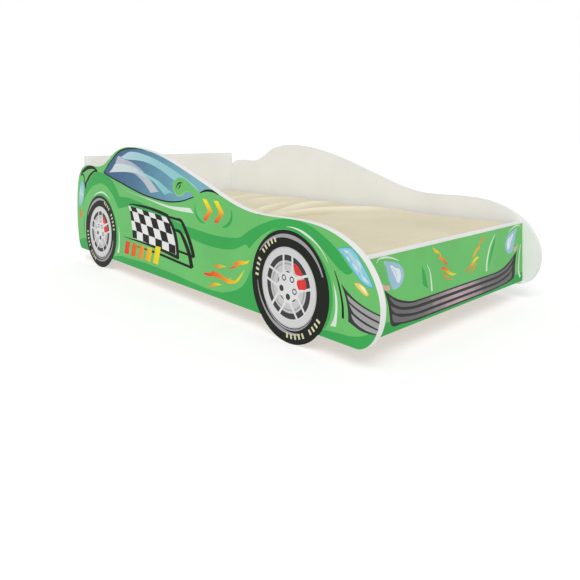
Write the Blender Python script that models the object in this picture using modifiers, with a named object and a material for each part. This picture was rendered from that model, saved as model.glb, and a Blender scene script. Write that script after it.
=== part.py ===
"""Toddler bed shaped like a racing car.

Two side panels are cut to a car's outline, with the wheels as part of the board. A headboard and a
footboard stand between them, held by cam locks and dowels. Slats lie on two bearers screwed to the
side panels and carry a mattress that lifts straight out.

Metres, +Z up. +X is the car's nose and +Y its left side. The origin is on the floor, under the
middle of the bed's overall length and width.
"""

import math

import bmesh
import bpy
from mathutils import Matrix, Vector
from mathutils.geometry import interpolate_bezier

# Mattress, and the room left round it
MATTRESS_LENGTH = 1.400
MATTRESS_WIDTH = 0.700
MATTRESS_THICKNESS = 0.080
MATTRESS_ROUNDING = 0.014
END_CLEARANCE = 0.0033
SIDE_CLEARANCE = 0.010

# Boards
BOARD = 0.018
JOINT_GAP = 0.0003
END_BOARD_BOTTOM = 0.0565
HEADBOARD_TOP = 0.405
FOOTBOARD_TOP = 0.230
NOSE_OVERHANG = 0.0496
TAIL_OVERHANG = 0.0228

# Side panel outline
WHEEL_RADIUS = 0.131
FRONT_WHEEL_FROM_NOSE = 0.270
REAR_WHEEL_FROM_TAIL = 0.217
SILL_HEIGHT = 0.0444
TAIL_HEIGHT = 0.372
ROOF_HEIGHT = 0.447
ROOF_FROM_TAIL = 0.450
HOOD_HEIGHT = 0.290
HOOD_FROM_NOSE = 0.390
NOSE_HEIGHT = 0.135
SILL_STEP = 0.003
WHEEL_SEGMENTS = 64
CURVE_STEPS = 9

# Mattress base
SLAT_TOP = 0.145
SLAT_COUNT = 10
SLAT_WIDTH = 0.070
SLAT_THICKNESS = 0.012
SLAT_ROUNDING = 0.003
SLAT_SIDE_GAP = 0.002
FIRST_SLAT_GAP = 0.012
BEARER_WIDTH = 0.022
BEARER_HEIGHT = 0.032
TAPE_WIDTH = 0.020
TAPE_THICKNESS = 0.001
TAPE_SPACING = 0.420

# Joints between the end boards and the side panels
REAR_CAM_HEIGHTS = (0.100, 0.300)
REAR_DOWEL_HEIGHTS = (0.150, 0.250)
FRONT_CAM_HEIGHTS = (0.090, 0.196)
FRONT_DOWEL_HEIGHTS = (0.124, 0.162)
CAM_INSET = 0.034
CAM_RADIUS = 0.0072
CAM_END_WALL = 0.0015
CAM_RECESS = 0.0005
CAM_SOCKET_RADIUS = 0.0027
CAM_SOCKET_DEPTH = 0.003
BOLT_HEAD_RADIUS = 0.0034
BOLT_HEAD_LENGTH = 0.003
BOLT_NECK_RADIUS = 0.0018
BOLT_SHAFT_RADIUS = 0.003
BOLT_THREAD_RADIUS = 0.0025
BOLT_THREAD_DEPTH = 0.0105
BOLT_CHANNEL_RADIUS = 0.004
CAP_RADIUS = 0.0088
CAP_THICKNESS = 0.0012
CAP_PEG_RADIUS = 0.0022
CAP_PEG_LENGTH = 0.002
DOWEL_RADIUS = 0.004
DOWEL_IN_PANEL = 0.010
DOWEL_IN_END_BOARD = 0.020
DOWEL_CHAMFER = 0.001
BORE_CLEARANCE = 0.0003
BORE_END_CLEARANCE = 0.0005

# Screws through the bearers into the side panels
SCREW_COUNT = 4
SCREW_INSET = 0.130
SCREW_RADIUS = 0.0019
SCREW_HEAD_RADIUS = 0.004
SCREW_HEAD_DEPTH = 0.0035
SCREW_IN_PANEL = 0.012
SCREW_TIP = 0.004

FASTENER_SEGMENTS = 12
OVERCUT = 0.001

CAM_LENGTH = BOARD / 2 - CAM_RECESS + BOLT_HEAD_RADIUS + BORE_CLEARANCE + CAM_END_WALL
INNER_LENGTH = MATTRESS_LENGTH + 2 * END_CLEARANCE
INNER_WIDTH = MATTRESS_WIDTH + 2 * SIDE_CLEARANCE
OVERALL_LENGTH = INNER_LENGTH + 2 * BOARD + NOSE_OVERHANG + TAIL_OVERHANG
NOSE_X = OVERALL_LENGTH / 2
TAIL_X = -OVERALL_LENGTH / 2
FRONT_WHEEL_X = NOSE_X - FRONT_WHEEL_FROM_NOSE
REAR_WHEEL_X = TAIL_X + REAR_WHEEL_FROM_TAIL
HEADBOARD_X = TAIL_X + TAIL_OVERHANG
FOOTBOARD_X = NOSE_X - NOSE_OVERHANG - BOARD
INNER_START_X = HEADBOARD_X + BOARD
INNER_MIDDLE_X = INNER_START_X + INNER_LENGTH / 2
BEARER_TOP = SLAT_TOP - SLAT_THICKNESS - JOINT_GAP
BEARER_MIDDLE = BEARER_TOP - BEARER_HEIGHT / 2
SIDES = {"right": -1, "left": 1}
END_JOINTS = {
    "headboard": (HEADBOARD_X, REAR_CAM_HEIGHTS, REAR_DOWEL_HEIGHTS),
    "footboard": (FOOTBOARD_X, FRONT_CAM_HEIGHTS, FRONT_DOWEL_HEIGHTS),
}


def new_collection(name):
    collection = bpy.data.collections.new(name)
    bpy.context.scene.collection.children.link(collection)
    return collection


def new_material(name, colour, roughness, metallic=0.0):
    material = bpy.data.materials.new(name)
    material.use_nodes = True
    shader = material.node_tree.nodes["Principled BSDF"]
    shader.inputs["Base Color"].default_value = (*colour, 1.0)
    shader.inputs["Roughness"].default_value = roughness
    shader.inputs["Metallic"].default_value = metallic
    material.diffuse_color = (*colour, 1.0)
    return material


def new_empty(name, location, parent=None):
    empty = bpy.data.objects.new(name, None)
    parts.objects.link(empty)
    empty.empty_display_size = 0.1
    empty.location = location
    empty.parent = parent
    return empty


def add_part(name, mesh, material, location=(0.0, 0.0, 0.0), rotation=(0.0, 0.0, 0.0), parent=None):
    """Links one sub-part to the bed, on the frame's empty unless another is given."""
    if not mesh.materials:
        mesh.materials.append(material)
    part = bpy.data.objects.new(name, mesh)
    parts.objects.link(part)
    part.location = location
    part.rotation_euler = rotation
    part.parent = parent or frame_empty
    return part


def box_mesh(name, size):
    """A block of the given (x, y, z) size, centred on its own origin."""
    shape = bmesh.new()
    bmesh.ops.create_cube(shape, size=1.0)
    bmesh.ops.scale(shape, vec=size, verts=shape.verts)
    return finished_mesh(name, shape)


def finished_mesh(name, shape):
    mesh = bpy.data.meshes.new(name)
    shape.to_mesh(mesh)
    shape.free()
    return mesh


def mesh_of(source):
    """The object's mesh with its modifiers applied; the object itself is removed."""
    bpy.context.view_layer.update()
    evaluated = source.evaluated_get(bpy.context.evaluated_depsgraph_get())
    mesh = bpy.data.meshes.new_from_object(evaluated)
    mesh.name = source.name
    bpy.data.objects.remove(source)
    return mesh


def shade_round(mesh, angle=math.radians(35)):
    mesh.shade_smooth()
    mesh.set_sharp_from_angle(angle=angle)
    return mesh


def turned_mesh(name, profile):
    """A solid turned about Z from (radius, height) pairs that run down its outer side."""
    mesh = bpy.data.meshes.new(name)
    corners = [(radius, 0.0, height) for radius, height in profile]
    mesh.from_pydata(corners, [(i, i + 1) for i in range(len(corners) - 1)], [])
    blank = bpy.data.objects.new(name, mesh)
    parts.objects.link(blank)
    screw = blank.modifiers.new("turn", "SCREW")
    screw.steps = screw.render_steps = FASTENER_SEGMENTS
    screw.use_merge_vertices = True
    screw.merge_threshold = 0.00001
    return shade_round(mesh_of(blank))


def add_bore(shape, start, direction, radius, depth, mouth_radius=None):
    """Adds one cutting cylinder or cone that runs from start along direction."""
    axis = Vector(direction).normalized()
    turn = Vector((0.0, 0.0, 1.0)).rotation_difference(axis).to_matrix().to_4x4()
    bmesh.ops.create_cone(
        shape,
        cap_ends=True,
        segments=FASTENER_SEGMENTS,
        radius1=mouth_radius or radius,
        radius2=radius,
        depth=depth,
        matrix=Matrix.Translation(Vector(start) + axis * depth / 2) @ turn,
    )


def cut(part, name, shape):
    """Takes the bores gathered in shape out of the part."""
    cutter = bpy.data.objects.new(name, finished_mesh(name, shape))
    cutters.objects.link(cutter)
    cutter.display_type = "WIRE"
    cutter.hide_render = True
    modifier = part.modifiers.new(name, "BOOLEAN")
    modifier.operation = "DIFFERENCE"
    modifier.solver = "EXACT"
    modifier.object = cutter


def bevel(part, width, segments):
    modifier = part.modifiers.new("edges", "BEVEL")
    modifier.width = width
    modifier.segments = segments


def smooth_path(knots):
    """Points along a smooth curve through knots of (x, z, heading in degrees)."""
    points = []
    for (x0, z0, heading0), (x1, z1, heading1) in zip(knots, knots[1:]):
        start = Vector((x0, z0))
        end = Vector((x1, z1))
        reach = (end - start).length / 3
        leaving = Vector((math.cos(math.radians(heading0)), math.sin(math.radians(heading0))))
        arriving = Vector((math.cos(math.radians(heading1)), math.sin(math.radians(heading1))))
        handles = (start, start + leaving * reach, end - arriving * reach, end)
        points += [tuple(p)[:2] for p in interpolate_bezier(*handles, CURVE_STEPS + 1)[:-1]]
    points.append(knots[-1][:2])
    return points


def wheel_arc(centre_x):
    """The part of a wheel below the sill, from its front round to its rear, with a flat at the floor."""
    step = 2 * math.pi / WHEEL_SEGMENTS
    flat_radius = WHEEL_RADIUS / math.cos(step / 2)
    half_chord = math.sqrt(WHEEL_RADIUS**2 - (WHEEL_RADIUS - SILL_HEIGHT) ** 2)
    points = [(centre_x + half_chord, SILL_HEIGHT)]
    for index in range(WHEEL_SEGMENTS // 2):
        angle = -(index + 0.5) * step
        height = WHEEL_RADIUS + flat_radius * math.sin(angle)
        if height < SILL_HEIGHT - SILL_STEP:
            points.append((centre_x + flat_radius * math.cos(angle), height))
    points.append((centre_x - half_chord, SILL_HEIGHT))
    return points


def panel_outline():
    """The car's outline in (x, z), from the tail's lower corner over the roof and back along the sill."""
    roof_x = TAIL_X + ROOF_FROM_TAIL
    hood_x = NOSE_X - HOOD_FROM_NOSE
    slope_length = hood_x - roof_x
    slope_fall = ROOF_HEIGHT - HOOD_HEIGHT
    body = smooth_path(
        [
            (TAIL_X + 0.045, SILL_HEIGHT, 160),
            (TAIL_X + 0.008, SILL_HEIGHT + 0.076, 103),
            (TAIL_X, SILL_HEIGHT + 0.156, 90),
            (TAIL_X + 0.020, TAIL_HEIGHT - 0.042, 62),
            (TAIL_X + 0.080, TAIL_HEIGHT - 0.002, 10),
            (TAIL_X + 0.175, TAIL_HEIGHT - 0.001, -1),
            (TAIL_X + 0.255, TAIL_HEIGHT + 0.012, 24),
            (roof_x - 0.105, ROOF_HEIGHT - 0.017, 19),
            (roof_x, ROOF_HEIGHT, 0),
            (roof_x + 0.43 * slope_length, ROOF_HEIGHT - 0.30 * slope_fall, -16.5),
            (roof_x + 0.74 * slope_length, ROOF_HEIGHT - 0.73 * slope_fall, -19),
            (hood_x, HOOD_HEIGHT, -4),
            (NOSE_X - 0.240, HOOD_HEIGHT, -1),
            (NOSE_X - 0.120, HOOD_HEIGHT - 0.017, -19),
            (NOSE_X - 0.030, NOSE_HEIGHT + 0.080, -53),
            (NOSE_X, NOSE_HEIGHT, -90),
            (NOSE_X - 0.020, NOSE_HEIGHT - 0.065, -127),
            (NOSE_X - 0.060, SILL_HEIGHT, -172),
        ]
    )
    return body + wheel_arc(FRONT_WHEEL_X) + wheel_arc(REAR_WHEEL_X)


def outline_board(name, points, thickness):
    """A board cut to a closed outline: its (x, z) points lie in the mesh's X and Y."""
    curve = bpy.data.curves.new(name, "CURVE")
    curve.dimensions = "2D"
    curve.fill_mode = "BOTH"
    curve.extrude = thickness / 2
    spline = curve.splines.new("POLY")
    spline.points.add(len(points) - 1)
    for point, (x, z) in zip(spline.points, points):
        point.co = (x, z, 0.0, 1.0)
    spline.use_cyclic_u = True
    source = bpy.data.objects.new(name, curve)
    parts.objects.link(source)
    mesh = mesh_of(source)
    shape = bmesh.new()
    shape.from_mesh(mesh)
    bmesh.ops.remove_doubles(shape, verts=shape.verts, dist=0.00001)
    for side in (-1, 1):
        cap = [face for face in shape.faces if all(side * corner.co.z > 0 for corner in face.verts)]
        bmesh.ops.dissolve_faces(shape, faces=cap)
    shape.to_mesh(mesh)
    shape.free()
    return mesh


def screw_positions():
    first = INNER_START_X + SCREW_INSET
    pitch = (INNER_LENGTH - 2 * SCREW_INSET) / (SCREW_COUNT - 1)
    return [first + index * pitch for index in range(SCREW_COUNT)]


def add_side_panel(side_name, side):
    """One side panel, with the blind bores in its inner face."""
    panel = add_part(
        f"{side_name}_side_panel",
        outline_board(f"{side_name}_side_panel", panel_outline(), BOARD),
        printed_board,
        location=(0.0, side * (INNER_WIDTH + BOARD) / 2, 0.0),
        rotation=(math.pi / 2, 0.0, 0.0),
    )
    bores = bmesh.new()
    mouth = side * (INNER_WIDTH / 2 - OVERCUT)
    outwards = (0.0, side, 0.0)
    for board_x, cam_heights, dowel_heights in END_JOINTS.values():
        for height in cam_heights:
            add_bore(
                bores,
                (board_x + BOARD / 2, mouth, height),
                outwards,
                BOLT_THREAD_RADIUS + BORE_CLEARANCE,
                BOLT_THREAD_DEPTH + BORE_END_CLEARANCE + OVERCUT,
            )
        for height in dowel_heights:
            add_bore(
                bores,
                (board_x + BOARD / 2, mouth, height),
                outwards,
                DOWEL_RADIUS + BORE_CLEARANCE,
                DOWEL_IN_PANEL + BORE_END_CLEARANCE + OVERCUT,
            )
    for x in screw_positions():
        add_bore(
            bores,
            (x, mouth, BEARER_MIDDLE),
            outwards,
            SCREW_RADIUS + BORE_CLEARANCE,
            SCREW_IN_PANEL + BORE_END_CLEARANCE + OVERCUT,
        )
    cut(panel, f"{side_name}_panel_bores", bores)


def add_end_board(name, top, material):
    """The headboard or footboard, bored from its rear face and from both ends."""
    board_x, cam_heights, dowel_heights = END_JOINTS[name]
    length = INNER_WIDTH - 2 * JOINT_GAP
    size = (BOARD, length, top - END_BOARD_BOTTOM)
    middle = (board_x + BOARD / 2, 0.0, (top + END_BOARD_BOTTOM) / 2)
    board = add_part(name, box_mesh(name, size), material, location=middle)
    end_bores = bmesh.new()
    cam_bores = bmesh.new()
    for side in SIDES.values():
        end = side * (length / 2 + OVERCUT)
        inwards = (0.0, -side, 0.0)
        for height in dowel_heights:
            add_bore(
                end_bores,
                (board_x + BOARD / 2, end, height),
                inwards,
                DOWEL_RADIUS + BORE_CLEARANCE,
                DOWEL_IN_END_BOARD + BORE_END_CLEARANCE + OVERCUT,
            )
        for height in cam_heights:
            add_bore(
                end_bores,
                (board_x + BOARD / 2, end, height),
                inwards,
                BOLT_CHANNEL_RADIUS,
                CAM_INSET + OVERCUT,
            )
            add_bore(
                cam_bores,
                (board_x - OVERCUT, side * (INNER_WIDTH / 2 - CAM_INSET), height),
                (1.0, 0.0, 0.0),
                CAM_RADIUS + BORE_CLEARANCE,
                CAM_RECESS + CAM_LENGTH + BORE_CLEARANCE + OVERCUT,
            )
    cut(board, f"{name}_end_bores", end_bores)
    cut(board, f"{name}_cam_bores", cam_bores)


def cam_mesh():
    """A cam along Z, its driven face up, with a socket and a chamber that holds the bolt's head.

    The bolt comes in along -Y, and the middle of the board's thickness is at Z = 0.
    """
    top = BOARD / 2 - CAM_RECESS
    body = bmesh.new()
    add_bore(body, (0.0, 0.0, top), (0.0, 0.0, -1.0), CAM_RADIUS, CAM_LENGTH)
    cam = bpy.data.objects.new("cam", finished_mesh("cam", body))
    parts.objects.link(cam)
    socket = bmesh.new()
    socket_depth = CAM_SOCKET_DEPTH + OVERCUT
    add_bore(socket, (0.0, 0.0, top + OVERCUT), (0.0, 0.0, -1.0), CAM_SOCKET_RADIUS, socket_depth)
    cut(cam, "cam_socket", socket)
    neck = bmesh.new()
    neck_radius = BOLT_NECK_RADIUS + BORE_CLEARANCE
    add_bore(neck, (0.0, -CAM_RADIUS - OVERCUT, 0.0), (0.0, 1.0, 0.0), neck_radius, CAM_RADIUS)
    cut(cam, "cam_neck", neck)
    chamber = bmesh.new()
    chamber_length = BOLT_HEAD_LENGTH + 2 * BORE_END_CLEARANCE
    chamber_radius = BOLT_HEAD_RADIUS + BORE_CLEARANCE
    add_bore(chamber, (0.0, -chamber_length / 2, 0.0), (0.0, 1.0, 0.0), chamber_radius, chamber_length)
    cut(cam, "cam_chamber", chamber)
    return shade_round(mesh_of(cam))


def bolt_mesh():
    """A cam bolt along Z, head up, with the joint between the boards at Z = 0."""
    head_base = CAM_INSET - BOLT_HEAD_LENGTH / 2
    shaft_end = CAM_INSET - CAM_RADIUS - 4 * BORE_CLEARANCE
    return turned_mesh(
        "cam_bolt",
        [
            (0.0, head_base + BOLT_HEAD_LENGTH),
            (0.8 * BOLT_HEAD_RADIUS, head_base + BOLT_HEAD_LENGTH),
            (BOLT_HEAD_RADIUS, head_base + 0.7 * BOLT_HEAD_LENGTH),
            (BOLT_HEAD_RADIUS, head_base + 0.3 * BOLT_HEAD_LENGTH),
            (BOLT_NECK_RADIUS, head_base),
            (BOLT_NECK_RADIUS, shaft_end),
            (BOLT_SHAFT_RADIUS, shaft_end - 0.001),
            (BOLT_SHAFT_RADIUS, JOINT_GAP + 0.0005),
            (BOLT_THREAD_RADIUS, JOINT_GAP + 0.0005),
            (BOLT_THREAD_RADIUS, -0.8 * BOLT_THREAD_DEPTH),
            (0.6 * BOLT_THREAD_RADIUS, -BOLT_THREAD_DEPTH),
            (0.0, -BOLT_THREAD_DEPTH),
        ],
    )


def dowel_mesh():
    """A wooden dowel along Z, with the joint between the boards at Z = 0."""
    return turned_mesh(
        "dowel",
        [
            (0.0, DOWEL_IN_END_BOARD),
            (DOWEL_RADIUS - DOWEL_CHAMFER, DOWEL_IN_END_BOARD),
            (DOWEL_RADIUS, DOWEL_IN_END_BOARD - DOWEL_CHAMFER),
            (DOWEL_RADIUS, DOWEL_CHAMFER - DOWEL_IN_PANEL),
            (DOWEL_RADIUS - DOWEL_CHAMFER, -DOWEL_IN_PANEL),
            (0.0, -DOWEL_IN_PANEL),
        ],
    )


def cap_mesh():
    """A cover cap along Z, with the board's face at Z = 0 and a peg that drops into the cam's socket."""
    top = JOINT_GAP + CAP_THICKNESS
    return turned_mesh(
        "cam_cap",
        [
            (0.0, top),
            (0.85 * CAP_RADIUS, top),
            (CAP_RADIUS, JOINT_GAP + 0.4 * CAP_THICKNESS),
            (CAP_RADIUS, JOINT_GAP),
            (CAP_PEG_RADIUS, JOINT_GAP),
            (CAP_PEG_RADIUS, -CAM_RECESS - CAP_PEG_LENGTH),
            (0.0, -CAM_RECESS - CAP_PEG_LENGTH),
        ],
    )


def screw_mesh():
    """A countersunk screw along Z, head up, with the bearer's inner face at Z = 0."""
    tip = -BEARER_WIDTH - JOINT_GAP - SCREW_IN_PANEL
    head_top = -BORE_CLEARANCE
    return turned_mesh(
        "bearer_screw",
        [
            (0.0, head_top),
            (SCREW_HEAD_RADIUS, head_top),
            (SCREW_RADIUS, head_top - SCREW_HEAD_DEPTH),
            (SCREW_RADIUS, tip + SCREW_TIP),
            (0.0, tip),
        ],
    )


def add_joint_hardware():
    """Cams, bolts, caps and dowels where each end board meets each side panel."""
    cam, bolt, cap, dowel = cam_mesh(), bolt_mesh(), cap_mesh(), dowel_mesh()
    face_rear = -math.pi / 2
    for board_name, (board_x, cam_heights, dowel_heights) in END_JOINTS.items():
        board_middle = board_x + BOARD / 2
        for side_name, side in SIDES.items():
            joint_y = side * INNER_WIDTH / 2
            head_inwards = (side * math.pi / 2, 0.0, 0.0)
            cam_y = side * (INNER_WIDTH / 2 - CAM_INSET)
            place = f"{board_name}_{side_name}"
            for level, height in zip(("lower", "upper"), cam_heights):
                cam_turn = (Matrix.Rotation(face_rear, 3, "Y") @ Matrix.Rotation(
                    0.0 if side < 0 else math.pi, 3, "Z")).to_euler()
                add_part(f"cam_{place}_{level}", cam, zinc, (board_middle, cam_y, height), cam_turn)
                add_part(
                    f"cam_bolt_{place}_{level}", bolt, steel, (board_middle, joint_y, height), head_inwards
                )
                add_part(
                    f"cam_cap_{place}_{level}", cap, cap_plastic, (board_x, cam_y, height),
                    (0.0, face_rear, 0.0),
                )
            for level, height in zip(("lower", "upper"), dowel_heights):
                add_part(
                    f"dowel_{place}_{level}", dowel, beech, (board_middle, joint_y, height), head_inwards
                )


def add_bearers():
    """The two rails that carry the slats, and the screws that hold them."""
    length = INNER_LENGTH - 2 * JOINT_GAP
    screw = screw_mesh()
    for side_name, side in SIDES.items():
        outer_y = side * (INNER_WIDTH / 2 - JOINT_GAP)
        inner_y = outer_y - side * BEARER_WIDTH
        name = f"{side_name}_bearer"
        bearer = add_part(
            name,
            box_mesh(name, (length, BEARER_WIDTH, BEARER_HEIGHT)),
            pine,
            location=(INNER_MIDDLE_X, (outer_y + inner_y) / 2, BEARER_MIDDLE),
        )
        shanks = bmesh.new()
        countersinks = bmesh.new()
        shank_radius = SCREW_RADIUS + BORE_CLEARANCE
        mouth_radius = SCREW_HEAD_RADIUS + BORE_CLEARANCE
        slope = (SCREW_HEAD_RADIUS - SCREW_RADIUS) / SCREW_HEAD_DEPTH
        for index, x in enumerate(screw_positions(), start=1):
            outwards = (0.0, side, 0.0)
            start = (x, inner_y - side * OVERCUT, BEARER_MIDDLE)
            add_bore(shanks, start, outwards, shank_radius, BEARER_WIDTH + 2 * OVERCUT)
            add_bore(
                countersinks,
                start,
                outwards,
                shank_radius,
                SCREW_HEAD_DEPTH + 2 * BORE_CLEARANCE + OVERCUT,
                mouth_radius=mouth_radius + (OVERCUT + BORE_CLEARANCE) * slope,
            )
            add_part(
                f"bearer_screw_{side_name}_{index}",
                screw,
                steel,
                (x, inner_y, BEARER_MIDDLE),
                (side * math.pi / 2, 0.0, 0.0),
            )
        cut(bearer, f"{name}_shanks", shanks)
        cut(bearer, f"{name}_countersinks", countersinks)


def add_slats():
    """Evenly spaced slats across the bearers, and the tapes under them that keep their spacing."""
    first = INNER_START_X + FIRST_SLAT_GAP + SLAT_WIDTH / 2
    last = INNER_START_X + INNER_LENGTH - FIRST_SLAT_GAP - SLAT_WIDTH / 2
    size = (SLAT_WIDTH, INNER_WIDTH - 2 * SLAT_SIDE_GAP, SLAT_THICKNESS)
    for index in range(SLAT_COUNT):
        x = first + (last - first) * index / (SLAT_COUNT - 1)
        name = f"slat_{index + 1:02d}"
        slat = add_part(name, box_mesh(name, size), pine, (x, 0.0, SLAT_TOP - SLAT_THICKNESS / 2))
        bevel(slat, SLAT_ROUNDING, 1)
    tape_size = (last - first + SLAT_WIDTH / 2, TAPE_WIDTH, TAPE_THICKNESS)
    tape_z = SLAT_TOP - SLAT_THICKNESS - JOINT_GAP - TAPE_THICKNESS / 2
    for side_name, side in SIDES.items():
        name = f"{side_name}_slat_tape"
        mesh = box_mesh(name, tape_size)
        add_part(name, mesh, tape_weave, (INNER_MIDDLE_X, side * TAPE_SPACING / 2, tape_z))


def add_mattress():
    """The mattress, on the axis along which it lifts out."""
    height = SLAT_TOP + JOINT_GAP + MATTRESS_THICKNESS / 2
    lift_empty = new_empty("mattress_lift", (INNER_MIDDLE_X, 0.0, height))
    mesh = box_mesh("mattress", (MATTRESS_LENGTH, MATTRESS_WIDTH, MATTRESS_THICKNESS))
    mattress = add_part("mattress", mesh, cream_cover, parent=lift_empty)
    bevel(mattress, MATTRESS_ROUNDING, 3)


for old in list(bpy.data.objects):
    bpy.data.objects.remove(old)

parts = new_collection("toddler_bed")
cutters = new_collection("cutters")
frame_empty = new_empty("bed_frame", (0.0, 0.0, 0.0))

printed_board = new_material("printed_board", (0.16, 0.51, 0.16), 0.45)
white_board = new_material("white_board", (0.80, 0.79, 0.76), 0.50)
pine = new_material("pine", (0.72, 0.53, 0.32), 0.62)
beech = new_material("beech", (0.66, 0.44, 0.25), 0.60)
steel = new_material("steel", (0.62, 0.62, 0.60), 0.35, metallic=1.0)
zinc = new_material("zinc", (0.50, 0.51, 0.52), 0.42, metallic=1.0)
cap_plastic = new_material("cap_plastic", (0.82, 0.82, 0.80), 0.40)
tape_weave = new_material("tape_weave", (0.78, 0.77, 0.72), 0.85)
cream_cover = new_material("cream_cover", (0.70, 0.65, 0.47), 0.90)

for side_name, side in SIDES.items():
    add_side_panel(side_name, side)
add_end_board("headboard", HEADBOARD_TOP, white_board)
add_end_board("footboard", FOOTBOARD_TOP, printed_board)
add_joint_hardware()
add_bearers()
add_slats()
add_mattress()
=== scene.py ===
"""Looks for the toddler bed: printed car-shaped boards, plain headboard, wooden base and fitted mattress.

The print is cut from the boards' own outlines: every shape is given in metres in a board's plane and becomes
a thin film of one ink. A side panel's plane is measured from the front wheel's centre line and the floor, and
the footboard's from the outer face of the right panel and the floor.
"""

import math

import bpy
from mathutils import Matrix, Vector
from mathutils.bvhtree import BVHTree
from mathutils.geometry import delaunay_2d_cdt


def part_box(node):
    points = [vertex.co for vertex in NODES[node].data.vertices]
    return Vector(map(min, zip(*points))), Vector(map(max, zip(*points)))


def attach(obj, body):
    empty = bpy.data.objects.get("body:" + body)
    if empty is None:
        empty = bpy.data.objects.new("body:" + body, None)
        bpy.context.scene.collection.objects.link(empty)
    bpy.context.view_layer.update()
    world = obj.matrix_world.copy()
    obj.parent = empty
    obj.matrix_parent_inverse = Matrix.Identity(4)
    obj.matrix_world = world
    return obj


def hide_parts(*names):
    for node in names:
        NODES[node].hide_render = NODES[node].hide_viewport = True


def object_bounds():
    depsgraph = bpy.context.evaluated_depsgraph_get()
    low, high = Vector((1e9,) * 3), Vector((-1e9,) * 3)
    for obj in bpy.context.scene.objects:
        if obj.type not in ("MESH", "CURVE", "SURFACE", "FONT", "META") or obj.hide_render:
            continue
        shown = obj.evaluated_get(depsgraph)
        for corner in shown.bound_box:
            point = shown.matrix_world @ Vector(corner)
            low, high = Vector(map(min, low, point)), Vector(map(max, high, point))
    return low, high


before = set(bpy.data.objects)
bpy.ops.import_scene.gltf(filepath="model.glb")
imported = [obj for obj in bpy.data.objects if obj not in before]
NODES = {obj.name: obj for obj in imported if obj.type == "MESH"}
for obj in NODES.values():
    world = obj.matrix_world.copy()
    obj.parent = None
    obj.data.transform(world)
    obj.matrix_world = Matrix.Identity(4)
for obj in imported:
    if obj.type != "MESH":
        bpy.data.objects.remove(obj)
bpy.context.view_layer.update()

WHEEL_FROM_NOSE = 0.270
WHEEL_SPACING = 1.028
WHEEL_CENTRE_Z = 0.131
TYRE_RADIUS = 0.1325

FILM_LIFT = 0.00005
FILM_THICKNESS = 0.0002
BAND_THICKNESS = 0.0005
BAND_CORNER = 0.0004

RIGHT_LOW, RIGHT_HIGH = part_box("right_side_panel")
LEFT_LOW, LEFT_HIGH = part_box("left_side_panel")
FOOT_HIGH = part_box("footboard")[1]
FRONT_AXLE_X = RIGHT_HIGH.x - WHEEL_FROM_NOSE
FOOT_MIDDLE = (RIGHT_LOW.y + LEFT_HIGH.y) / 2 - RIGHT_LOW.y
PRINT_OFFSET = 0.010
PRINT_MIDDLE = FOOT_MIDDLE + PRINT_OFFSET

CAMERA_PLACE = (1.42849, -1.24298, 0.47934)
CAMERA_TURN = 0.8237047
CAMERA_LENS = 33.983
CAMERA_SHIFT = -0.2629


# ---------------------------------------------------------------- outlines in a board's plane


def smooth(points, closed=True, steps=5):
    """A smooth line through the points; a third value on a point makes it a sharp corner."""
    count = len(points)
    spots = [Vector(point[:2]) for point in points]
    headings = []
    for i, point in enumerate(points):
        at_end = not closed and i in (0, count - 1)
        if len(point) > 2 or at_end:
            headings.append(None)
            continue
        before = spots[i] - spots[i - 1]
        after = spots[(i + 1) % count] - spots[i]
        heading = before.normalized() * after.length + after.normalized() * before.length
        headings.append(heading.normalized())
    line = []
    for i in range(count if closed else count - 1):
        j = (i + 1) % count
        span = spots[j] - spots[i]
        straight = span.normalized()
        leave = straight if headings[i] is None else headings[i]
        arrive = straight if headings[j] is None else headings[j]
        near = spots[i] + leave * span.length / 3
        far = spots[j] - arrive * span.length / 3
        pieces = 1 if headings[i] is None and headings[j] is None else steps
        for k in range(pieces):
            t = k / pieces
            s = 1 - t
            line.append(spots[i] * s**3 + near * 3 * s * s * t + far * 3 * s * t * t + spots[j] * t**3)
    if not closed:
        line.append(spots[-1])
    return line


def spread(values, share):
    """The value at a share of the way along evenly spaced values."""
    place = share * (len(values) - 1)
    low = min(int(place), len(values) - 2)
    return values[low] + (values[low + 1] - values[low]) * (place - low)


def brush(points, *widths):
    """The outline of a brush line through the points, its widths in millimetres spread along it."""
    line = smooth(points, closed=False)
    travelled = [0.0]
    for a, b in zip(line, line[1:]):
        travelled.append(travelled[-1] + (b - a).length)
    left, right = [], []
    for i, spot in enumerate(line):
        ahead = line[min(i + 1, len(line) - 1)] - line[max(i - 1, 0)]
        side = Vector((-ahead.y, ahead.x)).normalized()
        half = spread(widths, travelled[i] / travelled[-1]) / 2000
        left.append(spot + side * half)
        right.append(spot - side * half)
    return left + right[::-1]


def polar(centre, radius, degrees):
    """A point at a radius and an angle round a centre."""
    angle = math.radians(degrees)
    return Vector((centre[0] + radius * math.cos(angle), centre[1] + radius * math.sin(angle)))


def disc(centre, radius, stretch=1.0, count=64):
    """A round outline, or an upright oval when stretch isn't 1."""
    ring = [polar((0, 0), radius, 360 * i / count) for i in range(count)]
    return [Vector((centre[0] + spot.x, centre[1] + spot.y * stretch)) for spot in ring]


def arc(centre, radii, start, end, *widths):
    """A brushed arc whose radius follows radii from the start angle to the end angle."""
    count = max(4, int(abs(end - start) / 8))
    points = []
    for i in range(count + 1):
        share = i / count
        points.append(polar(centre, spread(radii, share), start + (end - start) * share))
    return brush(points, *widths)


def ring_part(centre, inner, outer, start, end, steps=8):
    """A piece of a flat ring between two radii and two angles."""
    angles = [start + (end - start) * i / steps for i in range(steps + 1)]
    return [polar(centre, outer, a) for a in angles] + [polar(centre, inner, a) for a in reversed(angles)]


def sharp(points):
    """An outline with straight edges only."""
    return [Vector(point) for point in points]


def mirrored(outline, middle):
    """The same outline on the other side of an upright line."""
    return [Vector((2 * middle - spot[0], spot[1])) for spot in outline]


# ---------------------------------------------------------------- the side panel's print


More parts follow.
